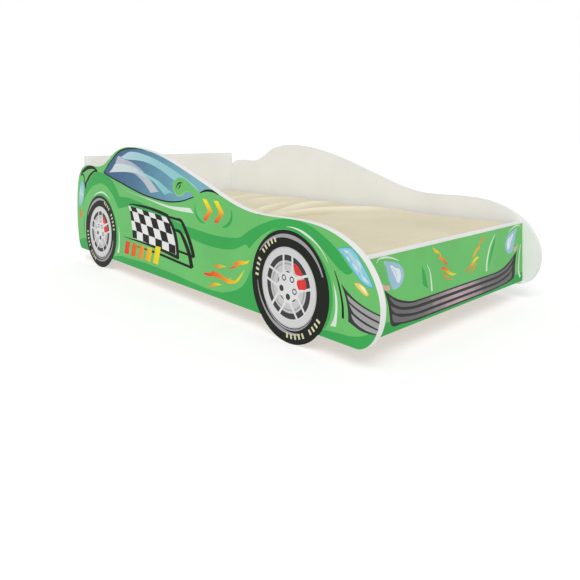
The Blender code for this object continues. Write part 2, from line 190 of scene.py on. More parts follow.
def sill_art():
    """The darker strip along the sill, behind, between and before the wheels."""
    tail = [(-1.30, 0.03, 1), (-1.215, 0.075), (-1.18, 0.086), (-1.15, 0.088), (-1.10, 0.085, 1)]
    tail += [(-1.10, 0, 1), (-1.30, 0, 1)]
    middle = [(-0.95, 0.05, 1), (-0.90, 0.060), (-0.86, 0.066)]
    middle += [(-0.80, 0.068), (-0.70, 0.071), (-0.60, 0.070)]
    middle += [(-0.50, 0.067), (-0.40, 0.062), (-0.30, 0.0605), (-0.26, 0.064), (-0.22, 0.075)]
    middle += [(-0.19, 0.087), (-0.165, 0.105), (-0.15, 0.125), (-0.135, 0.15, 1)]
    middle += [(-0.05, 0.10, 1), (-0.05, 0, 1), (-0.95, 0, 1)]
    nose = [(0.08, 0.055, 1), (0.13, 0.062), (0.16, 0.064), (0.20, 0.068), (0.23, 0.078), (0.25, 0.09)]
    nose += [(0.29, 0.12, 1), (0.29, 0, 1), (0.08, 0, 1)]
    return [("dark_green", smooth(shape)) for shape in (tail, middle, nose)]


def arch_art():
    """The dark band that runs over both wheels and along the door."""
    upper = [(-1.175, 0.28, 1), (-1.165, 0.285), (-1.12, 0.325), (-1.08, 0.345), (-1.04, 0.350)]
    upper += [(-1.0, 0.348), (-0.97, 0.342), (-0.94, 0.330), (-0.92, 0.318), (-0.90, 0.303), (-0.885, 0.287)]
    upper += [(-0.87, 0.272, 1), (-0.84, 0.274), (-0.80, 0.274)]
    upper += [(-0.75, 0.268), (-0.70, 0.262), (-0.60, 0.25)]
    upper += [(-0.52, 0.232), (-0.46, 0.222), (-0.40, 0.218), (-0.34, 0.214), (-0.28, 0.2125), (-0.22, 0.216)]
    upper += [(-0.18, 0.223), (-0.16, 0.235), (-0.12, 0.256), (-0.08, 0.272), (-0.04, 0.284), (0, 0.290)]
    upper += [(0.04, 0.289), (0.08, 0.280), (0.12, 0.262), (0.15, 0.245), (0.19, 0.208), (0.197, 0.202)]
    lower = [(0.19, 0.195), (0.18, 0.193), (0.17, 0.196), (0.15, 0.207), (0.13, 0.222), (0.10, 0.243)]
    lower += [(0.06, 0.264), (0.02, 0.2725), (-0.02, 0.268), (-0.06, 0.256), (-0.09, 0.241), (-0.12, 0.22)]
    lower += [(-0.145, 0.198, 1), (-0.15, 0.203), (-0.16, 0.206), (-0.18, 0.198), (-0.20, 0.190)]
    lower += [(-0.24, 0.182), (-0.28, 0.1795), (-0.33, 0.180), (-0.38, 0.184), (-0.42, 0.190), (-0.50, 0.205)]
    lower += [(-0.60, 0.225), (-0.70, 0.239), (-0.80, 0.247), (-0.82, 0.242), (-0.85, 0.236)]
    lower += [(-0.88, 0.230, 1), (-0.90, 0.250), (-0.92, 0.268), (-0.95, 0.288), (-0.98, 0.302)]
    lower += [(-1.02, 0.309), (-1.06, 0.304), (-1.10, 0.292)]
    lower += [(-1.14, 0.268), (-1.17, 0.243), (-1.19, 0.215, 1)]
    return [("dark_green", smooth(upper + lower))]


def gloss_art():
    """Painted highlights over the wheel arches and under the window."""
    over_front = [(-0.037, 0.262), (-0.015, 0.2675), (0.01, 0.270)]
    over_front += [(0.04, 0.267), (0.07, 0.257), (0.10, 0.240)]
    over_front += [(0.12, 0.220), (0.127, 0.210)]
    over_rear = [(-1.09, 0.256), (-1.065, 0.267), (-1.04, 0.274)]
    over_rear += [(-1.01, 0.277), (-0.98, 0.270), (-0.95, 0.256)]
    under_window = [(-0.86, 0.3015, 1), (-0.80, 0.2945), (-0.756, 0.2903), (-0.70, 0.2845), (-0.652, 0.2805)]
    under_window += [(-0.60, 0.2755), (-0.535, 0.2712), (-0.49, 0.2718), (-0.45, 0.2738), (-0.418, 0.2748, 1)]
    under_window += [(-0.400, 0.262, 1), (-0.44, 0.2612), (-0.49, 0.2612), (-0.535, 0.2637), (-0.60, 0.2705)]
    under_window += [(-0.652, 0.2775), (-0.70, 0.283), (-0.756, 0.2893), (-0.80, 0.2938)]
    return [
        ("highlight", brush(over_front, 1, 4.5, 6, 4, 1)),
        ("highlight", brush(over_rear, 1, 4.5, 6, 4.5, 1)),
        ("highlight", smooth(under_window)),
    ]


def window_art():
    """The side window: glass, its reflections, and the black lines round it."""
    rim = [(-1.0, 0.351), (-0.98, 0.366), (-0.96, 0.382), (-0.93, 0.400), (-0.90, 0.419), (-0.87, 0.431)]
    rim += [(-0.84, 0.438), (-0.80, 0.442), (-0.76, 0.4425), (-0.70, 0.440)]
    sill = [(-0.40, 0.309), (-0.43, 0.300), (-0.46, 0.292), (-0.50, 0.286), (-0.55, 0.283), (-0.60, 0.2845)]
    sill += [(-0.65, 0.288), (-0.70, 0.293), (-0.75, 0.301), (-0.80, 0.310), (-0.85, 0.320), (-0.90, 0.329)]
    sill += [(-0.95, 0.339), (-0.98, 0.346)]
    front = [(-0.65, 0.433), (-0.62, 0.44, 1), (-0.50, 0.44, 1), (-0.30, 0.36, 1), (-0.295, 0.335, 1)]
    front += [(-0.33, 0.3325), (-0.365, 0.324)]
    glass = [(*rim[0], 1)] + rim[1:] + front + sill
    band = [(-0.86, 0.412, 1), (-0.84, 0.418), (-0.80, 0.430), (-0.76, 0.431), (-0.70, 0.425), (-0.66, 0.419)]
    band += [(-0.60, 0.406), (-0.55, 0.393), (-0.50, 0.378), (-0.45, 0.362), (-0.42, 0.352), (-0.38, 0.333)]
    band += [(-0.37, 0.327, 1), (-0.45, 0.332), (-0.51, 0.351)]
    band += [(-0.54, 0.362), (-0.58, 0.376), (-0.62, 0.387)]
    band += [(-0.68, 0.399), (-0.74, 0.4035), (-0.80, 0.404), (-0.83, 0.405)]
    swoosh = [(-0.955, 0.353, 1), (-0.93, 0.367), (-0.905, 0.386), (-0.87, 0.388), (-0.83, 0.3865)]
    swoosh += [(-0.79, 0.384), (-0.75, 0.377), (-0.72, 0.3685), (-0.68, 0.3605), (-0.64, 0.3525)]
    swoosh += [(-0.60, 0.343), (-0.56, 0.328), (-0.53, 0.316), (-0.51, 0.311, 1), (-0.54, 0.309)]
    swoosh += [(-0.56, 0.302, 1), (-0.60, 0.322), (-0.63, 0.338)]
    swoosh += [(-0.66, 0.346), (-0.70, 0.35), (-0.74, 0.357)]
    swoosh += [(-0.78, 0.3605), (-0.82, 0.361), (-0.87, 0.359), (-0.92, 0.356)]
    high_lilac = [(-0.905, 0.386, 1), (-0.895, 0.40), (-0.885, 0.412), (-0.875, 0.4145), (-0.86, 0.411)]
    high_lilac += [(-0.83, 0.4035), (-0.80, 0.400), (-0.77, 0.393), (-0.74, 0.384), (-0.72, 0.377)]
    high_lilac += [(-0.69, 0.365, 1), (-0.72, 0.3685), (-0.75, 0.377), (-0.79, 0.384), (-0.83, 0.3865)]
    high_lilac += [(-0.87, 0.388)]
    low_lilac = [(-0.76, 0.358, 1), (-0.70, 0.351), (-0.66, 0.345), (-0.63, 0.328), (-0.60, 0.309, 1)]
    low_lilac += [(-0.65, 0.302, 1), (-0.67, 0.316), (-0.70, 0.335), (-0.73, 0.348)]
    hood = [(-0.367, 0.323), (-0.345, 0.330), (-0.32, 0.3325), (-0.30, 0.3315), (-0.278, 0.3255)]
    sill_line = [(-1.0, 0.351)] + sill[::-1]
    return [
        ("glass", smooth(glass)),
        ("reflection", smooth(band)),
        ("swoosh", smooth(swoosh)),
        ("lilac_high", smooth(high_lilac)),
        ("lilac_low", smooth(low_lilac)),
        ("black", brush(rim, 4.5, 5.5, 5.5, 4.5, 1)),
        ("black", brush(sill_line, 5, 5.5, 5, 4.6, 3.5)),
        ("black", brush(hood, 3, 6.5, 6.5, 5)),
    ]


def mirror_art():
    """The door mirror and its two small lines."""
    body = [(-0.47, 0.3605), (-0.45, 0.358), (-0.42, 0.347), (-0.39, 0.333), (-0.365, 0.322, 1)]
    body += [(-0.40, 0.309, 1), (-0.41, 0.318), (-0.425, 0.323), (-0.445, 0.320), (-0.46, 0.311)]
    body += [(-0.478, 0.306), (-0.50, 0.312), (-0.512, 0.328), (-0.508, 0.345), (-0.49, 0.357)]
    rim = [(-0.49, 0.357), (-0.508, 0.345), (-0.512, 0.328), (-0.50, 0.312), (-0.478, 0.306), (-0.46, 0.311)]
    rim += [(-0.445, 0.320), (-0.425, 0.323)]
    long_line = [(-0.496, 0.326), (-0.490, 0.336), (-0.480, 0.343), (-0.460, 0.3455)]
    short_line = [(-0.481, 0.325), (-0.476, 0.333), (-0.468, 0.340)]
    return [
        ("green", smooth(body)),
        ("pale_green", brush(rim, 1, 4, 5, 5, 1)),
        ("black", brush(long_line, 2, 6.5, 2)),
        ("black", brush(short_line, 2, 6.5, 2)),
    ]


def door_badge_art():
    """Two forward chevrons between brushed arcs, where the car carried its number."""
    left_arc = [(-0.392, 0.290), (-0.393, 0.275), (-0.385, 0.258), (-0.37, 0.246), (-0.345, 0.239)]
    right_arc = [(-0.222, 0.290), (-0.218, 0.272), (-0.226, 0.255), (-0.24, 0.245), (-0.26, 0.239)]
    art = [("dark_green", brush(left_arc, 2, 9, 10, 3)), ("dark_green", brush(right_arc, 2, 9, 9, 3))]
    for x in (-0.354, -0.300):
        chevron = [(x, 0.307), (x + 0.020, 0.307), (x + 0.048, 0.277), (x + 0.020, 0.247), (x, 0.247)]
        art.append(("badge", sharp(chevron + [(x + 0.026, 0.277)])))
    return art


def speed_bars_art():
    """Five slanted bars under the flag, in place of the word on the door."""
    art = []
    for i in range(5):
        x = -0.835 + 0.050 * i
        top = 0.125 if i < 4 else 0.137
        lean = (top - 0.080) * 0.30
        far_x = x + 0.032
        art.append(("bars", sharp([(x, 0.080), (far_x, 0.080), (far_x + lean, top), (x + lean, top)])))
    return art


def flag_art():
    """The chequered flag, its black frame and the two brackets that echo it."""
    left_x = (-0.790, -0.777, -0.759, -0.744, -0.742)
    edge_x = (-0.805, -0.792, -0.783, -0.776, -0.772)
    line_z = (0.247, 0.231, 0.199, 0.168, 0.142)
    pitch, drop = 0.0412, 0.0023

    def corner(row, column):
        if column < 0:
            return (edge_x[row], line_z[row])
        return (left_x[row] + pitch * column, line_z[row] - drop * column)

    cloth = [corner(row, -1) for row in range(5)] + [corner(row, 6) for row in reversed(range(5))]
    art = [("white", sharp(cloth))]
    for row in range(4):
        for column in range(-1, 6):
            if (row + column) % 2 == 0:
                right = min(column + 1, 5.93)
                cell = [corner(row, column), corner(row, right)]
                cell += [corner(row + 1, right), corner(row + 1, column)]
                art.append(("black", sharp(cell)))
    top = [(-0.80, 0.250), (-0.79, 0.2525), (-0.74, 0.254), (-0.70, 0.2535), (-0.65, 0.2515), (-0.60, 0.247)]
    top += [(-0.56, 0.242), (-0.54, 0.238)]
    edge = [(-0.556, 0.243), (-0.529, 0.222), (-0.508, 0.20)]
    edge += [(-0.494, 0.17), (-0.488, 0.145), (-0.486, 0.120)]
    foot = [(-0.84, 0.137), (-0.78, 0.136), (-0.70, 0.135), (-0.62, 0.132), (-0.55, 0.127), (-0.50, 0.122)]
    foot += [(-0.48, 0.121)]
    near = [(-0.54, 0.237), (-0.50, 0.235), (-0.465, 0.231), (-0.455, 0.222), (-0.44, 0.205), (-0.425, 0.185)]
    near += [(-0.41, 0.16), (-0.403, 0.145), (-0.400, 0.135)]
    near_foot = [(-0.484, 0.141), (-0.44, 0.139), (-0.398, 0.136)]
    far = [(-0.52, 0.203), (-0.49, 0.201), (-0.475, 0.199), (-0.46, 0.188), (-0.445, 0.172), (-0.43, 0.152)]
    far += [(-0.42, 0.135), (-0.413, 0.115), (-0.408, 0.103)]
    far_foot = [(-0.75, 0.117), (-0.58, 0.114), (-0.50, 0.109), (-0.41, 0.104)]
    return art + [
        ("black", brush(top, 3, 8, 10, 11)),
        ("black", brush(edge, 9, 14, 16, 17, 17)),
        ("black", brush(foot, 1.5, 6, 9, 11)),
        ("black", brush(near, 7, 8, 15, 17, 17)),
        ("black", brush(near_foot, 7, 7, 7)),
        ("black", brush(far, 5, 10, 17, 19, 19)),
        ("black", brush(far_foot, 2.5, 7, 8, 8)),
    ]


def side_flame_art():
    """Four licks of flame behind the front wheel."""
    low = [(-0.352, 0.099, 1), (-0.335, 0.104), (-0.315, 0.107), (-0.302, 0.115, 1), (-0.285, 0.113)]
    low += [(-0.265, 0.111), (-0.25, 0.108), (-0.235, 0.105), (-0.22, 0.111), (-0.212, 0.115, 1)]
    low += [(-0.225, 0.106, 1), (-0.21, 0.104), (-0.195, 0.112), (-0.18, 0.126), (-0.163, 0.142, 1)]
    low += [(-0.172, 0.129), (-0.185, 0.112), (-0.20, 0.101), (-0.215, 0.096), (-0.23, 0.093)]
    low += [(-0.245, 0.094), (-0.26, 0.098), (-0.28, 0.099), (-0.30, 0.099), (-0.32, 0.096), (-0.34, 0.096)]
    high = [(-0.24, 0.132, 1), (-0.215, 0.141), (-0.205, 0.148), (-0.218, 0.151, 1), (-0.20, 0.155)]
    high += [(-0.185, 0.162), (-0.165, 0.163), (-0.15, 0.167), (-0.143, 0.170, 1), (-0.152, 0.160)]
    high += [(-0.165, 0.155), (-0.172, 0.152), (-0.18, 0.153), (-0.195, 0.143), (-0.21, 0.137)]
    high += [(-0.225, 0.134)]
    middle = [(-0.305, 0.128, 1), (-0.285, 0.133), (-0.27, 0.137), (-0.25, 0.136), (-0.238, 0.137, 1)]
    middle += [(-0.26, 0.131), (-0.275, 0.126), (-0.29, 0.126)]
    small = [(-0.328, 0.068, 1), (-0.31, 0.076), (-0.297, 0.083), (-0.285, 0.084), (-0.262, 0.084, 1)]
    small += [(-0.275, 0.080), (-0.29, 0.0755), (-0.31, 0.069)]
    shapes = {"low": low, "high": high, "middle": middle, "small": small}
    return [(f"flame_{name}", smooth(shape)) for name, shape in shapes.items()]


def nose_art():
    """Headlight, turn lamp, the grille's side and the lines behind it."""
    lamp = [(0.155, 0.243, 1), (0.17, 0.247), (0.195, 0.249, 1), (0.21, 0.238), (0.225, 0.22), (0.24, 0.20)]
    lamp += [(0.25, 0.183), (0.252, 0.179, 1), (0.24, 0.179), (0.225, 0.184), (0.21, 0.195)]
    lamp += [(0.195, 0.208), (0.18, 0.225), (0.165, 0.236)]
    amber = [(0.202, 0.1786, 1), (0.2157, 0.1807), (0.230, 0.1743), (0.2407, 0.163, 1), (0.2371, 0.1597)]
    amber += [(0.2229, 0.1636), (0.210, 0.1714)]
    grille = [(0.1657, 0.1714, 1), (0.1814, 0.1593), (0.2014, 0.1471), (0.2229, 0.1386), (0.2443, 0.1329)]
    grille += [(0.285, 0.127, 1), (0.285, 0.090, 1), (0.2557, 0.0858), (0.2371, 0.084), (0.2186, 0.085)]
    grille += [(0.2014, 0.090), (0.1857, 0.0957, 1), (0.1857, 0.110), (0.1836, 0.1271), (0.1771, 0.1486)]
    art = [
        ("lamp", smooth(lamp)),
        ("lamp_line", brush([point[:2] for point in lamp[:3] + lamp[3:8]], 1.5, 2, 2, 2)),
        ("lamp_line", brush([point[:2] for point in lamp[7:]] + [(0.155, 0.243)], 2, 2, 1.5)),
        ("lamp_pale", brush([(0.176, 0.243), (0.188, 0.238), (0.205, 0.222), (0.224, 0.200)], 2, 9, 11, 4)),
        ("lamp_glint", brush([(0.174, 0.2425), (0.181, 0.240), (0.188, 0.243)], 1, 5, 1)),
        ("lamp_glint", brush([(0.180, 0.231), (0.185, 0.2265), (0.190, 0.221)], 1, 5, 1)),
        ("lamp_glint", brush([(0.197, 0.218), (0.206, 0.211), (0.214, 0.202)], 2, 6, 1)),
        ("lamp_glint", brush([(0.207, 0.229), (0.216, 0.221), (0.221, 0.210)], 1, 5, 1)),
        ("lamp_glint", brush([(0.220, 0.199), (0.230, 0.1915), (0.241, 0.186)], 1, 6, 2)),
        ("amber_line", brush([point[:2] for point in amber] + [amber[0][:2]], 1.5, 1.5)),
        ("amber", smooth(amber)),
        ("amber_glint", brush([(0.2165, 0.1775), (0.2275, 0.1715), (0.2365, 0.1635)], 1, 8, 1)),
        ("grille", smooth(grille)),
    ]
    bars = (
        [(0.182, 0.1507, 1), (0.1986, 0.1429), (0.2186, 0.1357), (0.2414, 0.130), (0.285, 0.1235, 1)]
        + [(0.285, 0.1125, 1), (0.2414, 0.1193), (0.2157, 0.1264), (0.1986, 0.1329), (0.187, 0.140)],
        [(0.188, 0.1336, 1), (0.2014, 0.1271), (0.2214, 0.120), (0.2443, 0.1143), (0.285, 0.109, 1)]
        + [(0.285, 0.0965, 1), (0.2386, 0.1036), (0.2157, 0.110), (0.1985, 0.1186), (0.192, 0.1271)],
        [(0.1936, 0.1136, 1), (0.2071, 0.1079), (0.2271, 0.1014), (0.2586, 0.0964), (0.285, 0.095, 1)]
        + [(0.285, 0.0885, 1), (0.2557, 0.0883), (0.2357, 0.0886), (0.2157, 0.0929), (0.2014, 0.100)]
        + [(0.196, 0.1071)],
    )
    art += [("side_bar", smooth(bar)) for bar in bars]
    slit = [(0.147, 0.195), (0.1586, 0.170), (0.1657, 0.147), (0.1703, 0.1257), (0.1712, 0.0986)]
    top_line = [(-0.110, 0.2885), (-0.07, 0.2905), (-0.03, 0.2908)]
    return art + [("black", brush(slit, 2, 4.5, 5.5, 6.5)), ("black", brush(top_line, 1, 4, 1))]


def tail_art():
    """Rear lamp, reflector and the black lines over the boot."""
    spoiler = [(-1.207, 0.328), (-1.20, 0.340), (-1.18, 0.350), (-1.15, 0.361), (-1.12, 0.3655)]
    spoiler += [(-1.09, 0.3645), (-1.07, 0.359), (-1.055, 0.353)]
    seam = [(-1.055, 0.352), (-1.08, 0.352), (-1.10, 0.345), (-1.12, 0.335), (-1.14, 0.32), (-1.16, 0.300)]
    seam += [(-1.166, 0.285)]
    corner = [(-1.20, 0.334), (-1.185, 0.333), (-1.178, 0.325), (-1.173, 0.31), (-1.165, 0.28)]
    lamp = [(-1.200, 0.307), (-1.187, 0.300), (-1.181, 0.285), (-1.1815, 0.255), (-1.188, 0.232)]
    lamp += [(-1.205, 0.215), (-1.226, 0.207, 1), (-1.2285, 0.225), (-1.226, 0.250), (-1.219, 0.280)]
    lamp += [(-1.210, 0.300)]
    return [
        ("black", brush(spoiler, 6, 14, 15, 12, 5)),
        ("black", brush(seam, 5, 9, 13, 12)),
        ("black", brush(corner, 5, 8, 9, 8)),
        ("tail_lamp", smooth(lamp)),
        ("lamp_glint", brush([(-1.207, 0.290), (-1.216, 0.262), (-1.219, 0.228)], 1, 6, 1)),
        ("lamp_glint", brush([(-1.199, 0.262), (-1.196, 0.255), (-1.184, 0.256)], 1, 5, 1)),
        ("flame_spot", disc((-1.21, 0.178), 0.014, 1.4)),
        ("black", brush([(-1.174, 0.176), (-1.175, 0.14), (-1.178, 0.102)], 0.8, 3.5, 0.8)),
        ("highlight", brush([(-1.160, 0.172), (-1.162, 0.14), (-1.165, 0.112)], 0.6, 2.5, 0.6)),
    ]


def tyre_art(hub, arcs, marks, gloss_shift):
    """Shade round the tyre, the tyre, two worn grey arcs, and plain dashes where it was lettered."""
    art = [("dark_green", arc(hub, (0.133, 0.1365, 0.1365, 0.133), 125, 40, 1, 6, 7, 1))]
    art.append(("dark_green", arc(hub, (0.134, 0.136, 0.137, 0.136), 42, -30, 3, 12, 10, 4)))
    art.append(("tyre", disc(hub, TYRE_RADIUS, count=96)))
    for start, end, radii, widths in arcs:
        art.append(("tyre_grey", arc(hub, radii, start, end, *widths)))
    for start, count in marks:
        for i in range(count):
            angle = start - 6.8 * i - (7 if i > 3 else 0)
            art.append(("tyre_mark", ring_part(hub, 0.1075, 0.1195, angle - 1.5, angle + 1.5, 2)))
    gloss = [(0.144, 0.169, 1), (0.1543, 0.140), (0.1557, 0.1186), (0.1536, 0.090), (0.1514, 0.0757, 1)]
    gloss += [(0.1343, 0.0736, 1), (0.1443, 0.090), (0.1493, 0.110), (0.1493, 0.1329)]
    art.append(("highlight", [spot + Vector((hub[0] + gloss_shift, 0)) for spot in smooth(gloss)]))
    return art


def window_cell(hub, middle, narrow):
    """One opening of the rim: a light back wall, a grey step and a dark outer part."""
    def cell(inner, outer, ink):
        if narrow:
            half_low = math.degrees(math.asin(0.0122 / inner))
            half_high = math.degrees(math.asin(0.0122 / outer))
        else:
            half_low = 36 - math.degrees(math.asin(0.0182 / inner))
            half_high = 36 - math.degrees(math.asin(0.0182 / outer))
        steps = 6
        shape = []
        for i in range(steps + 1):
            shape.append(polar(hub, outer, middle - half_high + 2 * half_high * i / steps))
        for i in range(steps + 1):
            shape.append(polar(hub, inner, middle + half_low - 2 * half_low * i / steps))
        return (ink, shape)

    steps = ((0.038, 0.0745, "rim_inside"), (0.0520, 0.0562, "rim_step"), (0.0610, 0.0745, "rim_dark"))
    return [cell(*step) for step in steps]


def rim_art(hub):
    """The alloy rim: bright dish, ten openings, brake parts, wheel nuts and small slots."""
    art = [("tyre_grey", arc(hub, (0.096, 0.0985, 0.0985, 0.096), 215, 325, 1, 4, 4, 1))]
    art.append(("tyre", arc(hub, (0.094, 0.0945, 0.094), 220, 320, 1, 2.5, 1)))
    art.append(("rim_edge", disc((hub[0], hub[1] - 0.001), 0.0935, count=96)))
    art.append(("rim", disc((hub[0], hub[1] - 0.001), 0.0905, count=96)))
    art.append(("rim_light", disc(hub, 0.0765, count=80)))
    for i in range(5):
        art += window_cell(hub, 90 + 72 * i, True)
        art += window_cell(hub, 54 + 72 * i, False)
    high_brake = [(0.020, 0.188), (0.033, 0.185), (0.043, 0.175), (0.050, 0.1645, 1), (0.035, 0.1635)]
    high_brake += [(0.025, 0.166), (0.021, 0.175)]
    low_brake = [(0.031, 0.150), (0.045, 0.155), (0.056, 0.158), (0.061, 0.145), (0.060, 0.137)]
    low_brake += [(0.045, 0.133), (0.037, 0.1315), (0.032, 0.138)]
    for shape in (high_brake, low_brake):
        art.append(("brake", [spot + Vector((hub[0], 0)) for spot in smooth(shape)]))
    for i, angle in enumerate((-90, -18, 54, 126, 198)):
        nut = polar(hub, 0.0235, angle)
        art.append(("rim_dark", disc(nut, 0.0075, count=24)))
        if i in (1, 2, 3):
            art.append(("rim_light", disc(nut, 0.0046, count=24)))
    for angle in (90, 162, 234, 306):
        middle = polar(hub, 0.035, angle)
        along = polar((0, 0), 0.0075, angle + 90)
        art.append(("rim_slot", brush([middle - along, middle, middle + along], 1.2, 4, 1.2)))
    return art


def wheel_art():
    """Both printed wheels. The rear one is turned about 100 degrees from the front one."""
    front = (0.0, WHEEL_CENTRE_Z)
    rear = (-WHEEL_SPACING, WHEEL_CENTRE_Z)
    high_radii, low_radii = (0.124, 0.1195, 0.118, 0.1195, 0.1205), (0.111, 0.107, 0.106, 0.109)
    front_arcs = [(146, 21, high_radii, (2, 7, 10, 8, 4)), (182, 292, low_radii, (2, 6, 9, 4))]
    rear_arcs = [(158, 68, high_radii, (2, 7, 10, 8, 3)), (238, 350, low_radii, (2, 6, 8, 3))]
    front_marks = [(175, 9), (-30, 9)]
    rear_marks = [(72, 9), (-112, 9)]
    art = tyre_art(front, front_arcs, front_marks, 0.0) + rim_art(front)
    return art + tyre_art(rear, rear_arcs, rear_marks, 0.003) + rim_art(rear)


def side_art():
    """Every shape of the side print, from the back layer to the front one."""
    art = sill_art() + arch_art() + gloss_art() + window_art() + mirror_art() + door_badge_art()
    art += flag_art() + speed_bars_art() + side_flame_art() + tail_art() + wheel_art() + nose_art()
    return art


# ---------------------------------------------------------------- the footboard's print


def foot_ground_art():
    """The green field below the bare top strip, and the darker strip along the bottom."""
    field = sharp([(-0.05, 0), (0.85, 0), (0.85, FOOT_HIGH.z - 0.0034), (-0.05, FOOT_HIGH.z - 0.0034)])
    strip = [(0, 0, 1), (0, 0.09, 1), (0.05, 0.083), (0.10, 0.080), (0.12, 0.0715), (0.20, 0.071, 1)]
    strip += [(0.57, 0.071, 1), (0.66, 0.0715), (0.69, 0.080), (0.756, 0.082, 1), (0.756, 0, 1)]
    return [("green", field), ("dark_green", smooth(strip))]


def foot_grille_art():
    """The wide grille and its three bars, which curl up at both ends."""
    left = [(0.22, 0.1085, 1), (0.18, 0.110), (0.15, 0.1165)]
    left += [(0.12, 0.127), (0.095, 0.141), (0.076, 0.154, 1)]
    left += [(0.083, 0.138), (0.09, 0.12), (0.095, 0.095), (0.10, 0.074), (0.14, 0.067), (0.20, 0.0625, 1)]
    right = [(0.55, 0.0625, 1), (0.60, 0.065), (0.66, 0.069), (0.683, 0.075), (0.69, 0.11), (0.695, 0.13)]
    right += [(0.702, 0.150, 1), (0.67, 0.134), (0.64, 0.121), (0.60, 0.111), (0.57, 0.1085, 1)]
    art = [("grille", smooth(left + right))]
    bars = (
        (
            [(0.093, 0.137, 1), (0.12, 0.121), (0.15, 0.111), (0.18, 0.1055), (0.22, 0.1045, 1)],
            [(0.22, 0.097, 1), (0.19, 0.0975), (0.16, 0.101), (0.13, 0.108), (0.105, 0.122)],
        ),
        (
            [(0.099, 0.115, 1), (0.13, 0.101), (0.16, 0.094), (0.19, 0.0905), (0.22, 0.0895, 1)],
            [(0.22, 0.081, 1), (0.20, 0.081), (0.17, 0.084), (0.14, 0.090), (0.11, 0.100)],
        ),
        (
            [(0.104, 0.097, 1), (0.13, 0.085), (0.16, 0.079), (0.20, 0.0752), (0.22, 0.0745, 1)],
            [(0.22, 0.0665, 1), (0.20, 0.067), (0.16, 0.069), (0.13, 0.073), (0.108, 0.080)],
        ),
    )
    for upper, lower in bars:
        left_end = smooth(upper + lower)
        top, bottom = upper[-1][1], lower[0][1]
        art.append(("foot_bar", left_end))
        art.append(("foot_bar", mirrored(left_end, PRINT_MIDDLE)))
        far = 2 * PRINT_MIDDLE - 0.2199
        art.append(("foot_bar", sharp([(0.2199, bottom), (far, bottom), (far, top), (0.2199, top)])))
    return art


def foot_lamp_art():
    """Headlights, the white arcs above them and the pink glow beside them, the same on both sides."""
    lamp = [(0.074, 0.213), (0.095, 0.211), (0.12, 0.205), (0.135, 0.197), (0.145, 0.185), (0.148, 0.175)]
    lamp += [(0.142, 0.160), (0.13, 0.151), (0.115, 0.148), (0.105, 0.150, 1), (0.098, 0.163)]
    lamp += [(0.09, 0.178), (0.085, 0.195), (0.080, 0.205)]
    pale = [(0.098, 0.202), (0.115, 0.195), (0.13, 0.190), (0.136, 0.178), (0.135, 0.167), (0.128, 0.160)]
    pale += [(0.122, 0.163), (0.115, 0.175), (0.105, 0.190)]
    brow = [(0.05, 0.215), (0.055, 0.221), (0.07, 0.2235), (0.09, 0.2215), (0.11, 0.216), (0.127, 0.209)]
    glow = [(0.068, 0.167), (0.078, 0.163), (0.095, 0.158), (0.097, 0.152), (0.085, 0.151), (0.07, 0.160)]
    half = [
        ("foot_lamp", smooth(lamp)),
        ("foot_glint", smooth(pale)),
        ("foot_lamp", brush([(0.103, 0.196), (0.116, 0.186), (0.122, 0.172)], 1, 2, 1)),
        ("highlight", brush(brow, 1.5, 4, 3, 1.5)),
        ("pink", smooth(glow)),
    ]
    return half + [(ink, mirrored(outline, PRINT_MIDDLE)) for ink, outline in half]


def foot_flame_art():
    """Three licks of flame on each side of the bonnet."""
    high = [(0.262, 0.220, 1), (0.275, 0.213), (0.285, 0.208), (0.295, 0.200), (0.30, 0.192), (0.31, 0.188)]
    high += [(0.32, 0.178), (0.33, 0.170, 1), (0.32, 0.169), (0.31, 0.178), (0.30, 0.183), (0.288, 0.187, 1)]
    high += [(0.293, 0.196), (0.28, 0.203), (0.27, 0.208)]
    middle = [(0.292, 0.164, 1), (0.31, 0.166), (0.325, 0.160), (0.335, 0.152), (0.35, 0.144)]
    middle += [(0.37, 0.140, 1), (0.355, 0.138), (0.335, 0.143), (0.32, 0.152), (0.305, 0.160)]
    low = [(0.30, 0.152, 1), (0.315, 0.148), (0.325, 0.142), (0.335, 0.134), (0.355, 0.129, 1)]
    low += [(0.335, 0.130), (0.32, 0.137), (0.31, 0.146)]
    shapes = {"high": high, "middle": middle, "low": low}
    art = []
    for name, shape in shapes.items():
        outline = smooth(shape)
        art.append((f"foot_flame_{name}_near", outline))
        art.append((f"foot_flame_{name}_far", mirrored(outline, PRINT_MIDDLE)))
    return art


def foot_bonnet_art():
    """The bonnet's folds: a dark wedge and a white line on each side, and one line by the right lamp."""
    left_wedge = [(0.217, 0.184, 1), (0.226, 0.172), (0.233, 0.155), (0.238, 0.140), (0.243, 0.127, 1)]
    left_wedge += [(0.230, 0.133), (0.2205, 0.141, 1), (0.2185, 0.160)]
    right_wedge = [(0.573, 0.207, 1), (0.565, 0.185), (0.553, 0.160), (0.540, 0.140), (0.533, 0.130, 1)]
    right_wedge += [(0.537, 0.150), (0.548, 0.175), (0.562, 0.197)]
    left_line = [(0.238, 0.183), (0.25, 0.165), (0.256, 0.14), (0.259, 0.117)]
    right_line = [(0.57, 0.214), (0.555, 0.20), (0.54, 0.182), (0.53, 0.162), (0.523, 0.14), (0.522, 0.12)]
    corner_line = [(0.727, 0.165), (0.72, 0.15), (0.715, 0.12), (0.713, 0.09), (0.722, 0.070)]
    return [
        ("dark_green", smooth(left_wedge)),
        ("dark_green", smooth(right_wedge)),
        ("highlight", brush(left_line, 1, 3, 5, 6)),
        ("highlight", brush(right_line, 2, 5, 7, 8)),
        ("highlight", brush(corner_line, 3, 5, 7, 9)),
    ]


def foot_art():
    """Every shape of the footboard's print, from the back layer to the front one."""
    return foot_ground_art() + foot_grille_art() + foot_lamp_art() + foot_bonnet_art() + foot_flame_art()


# ---------------------------------------------------------------- meshes


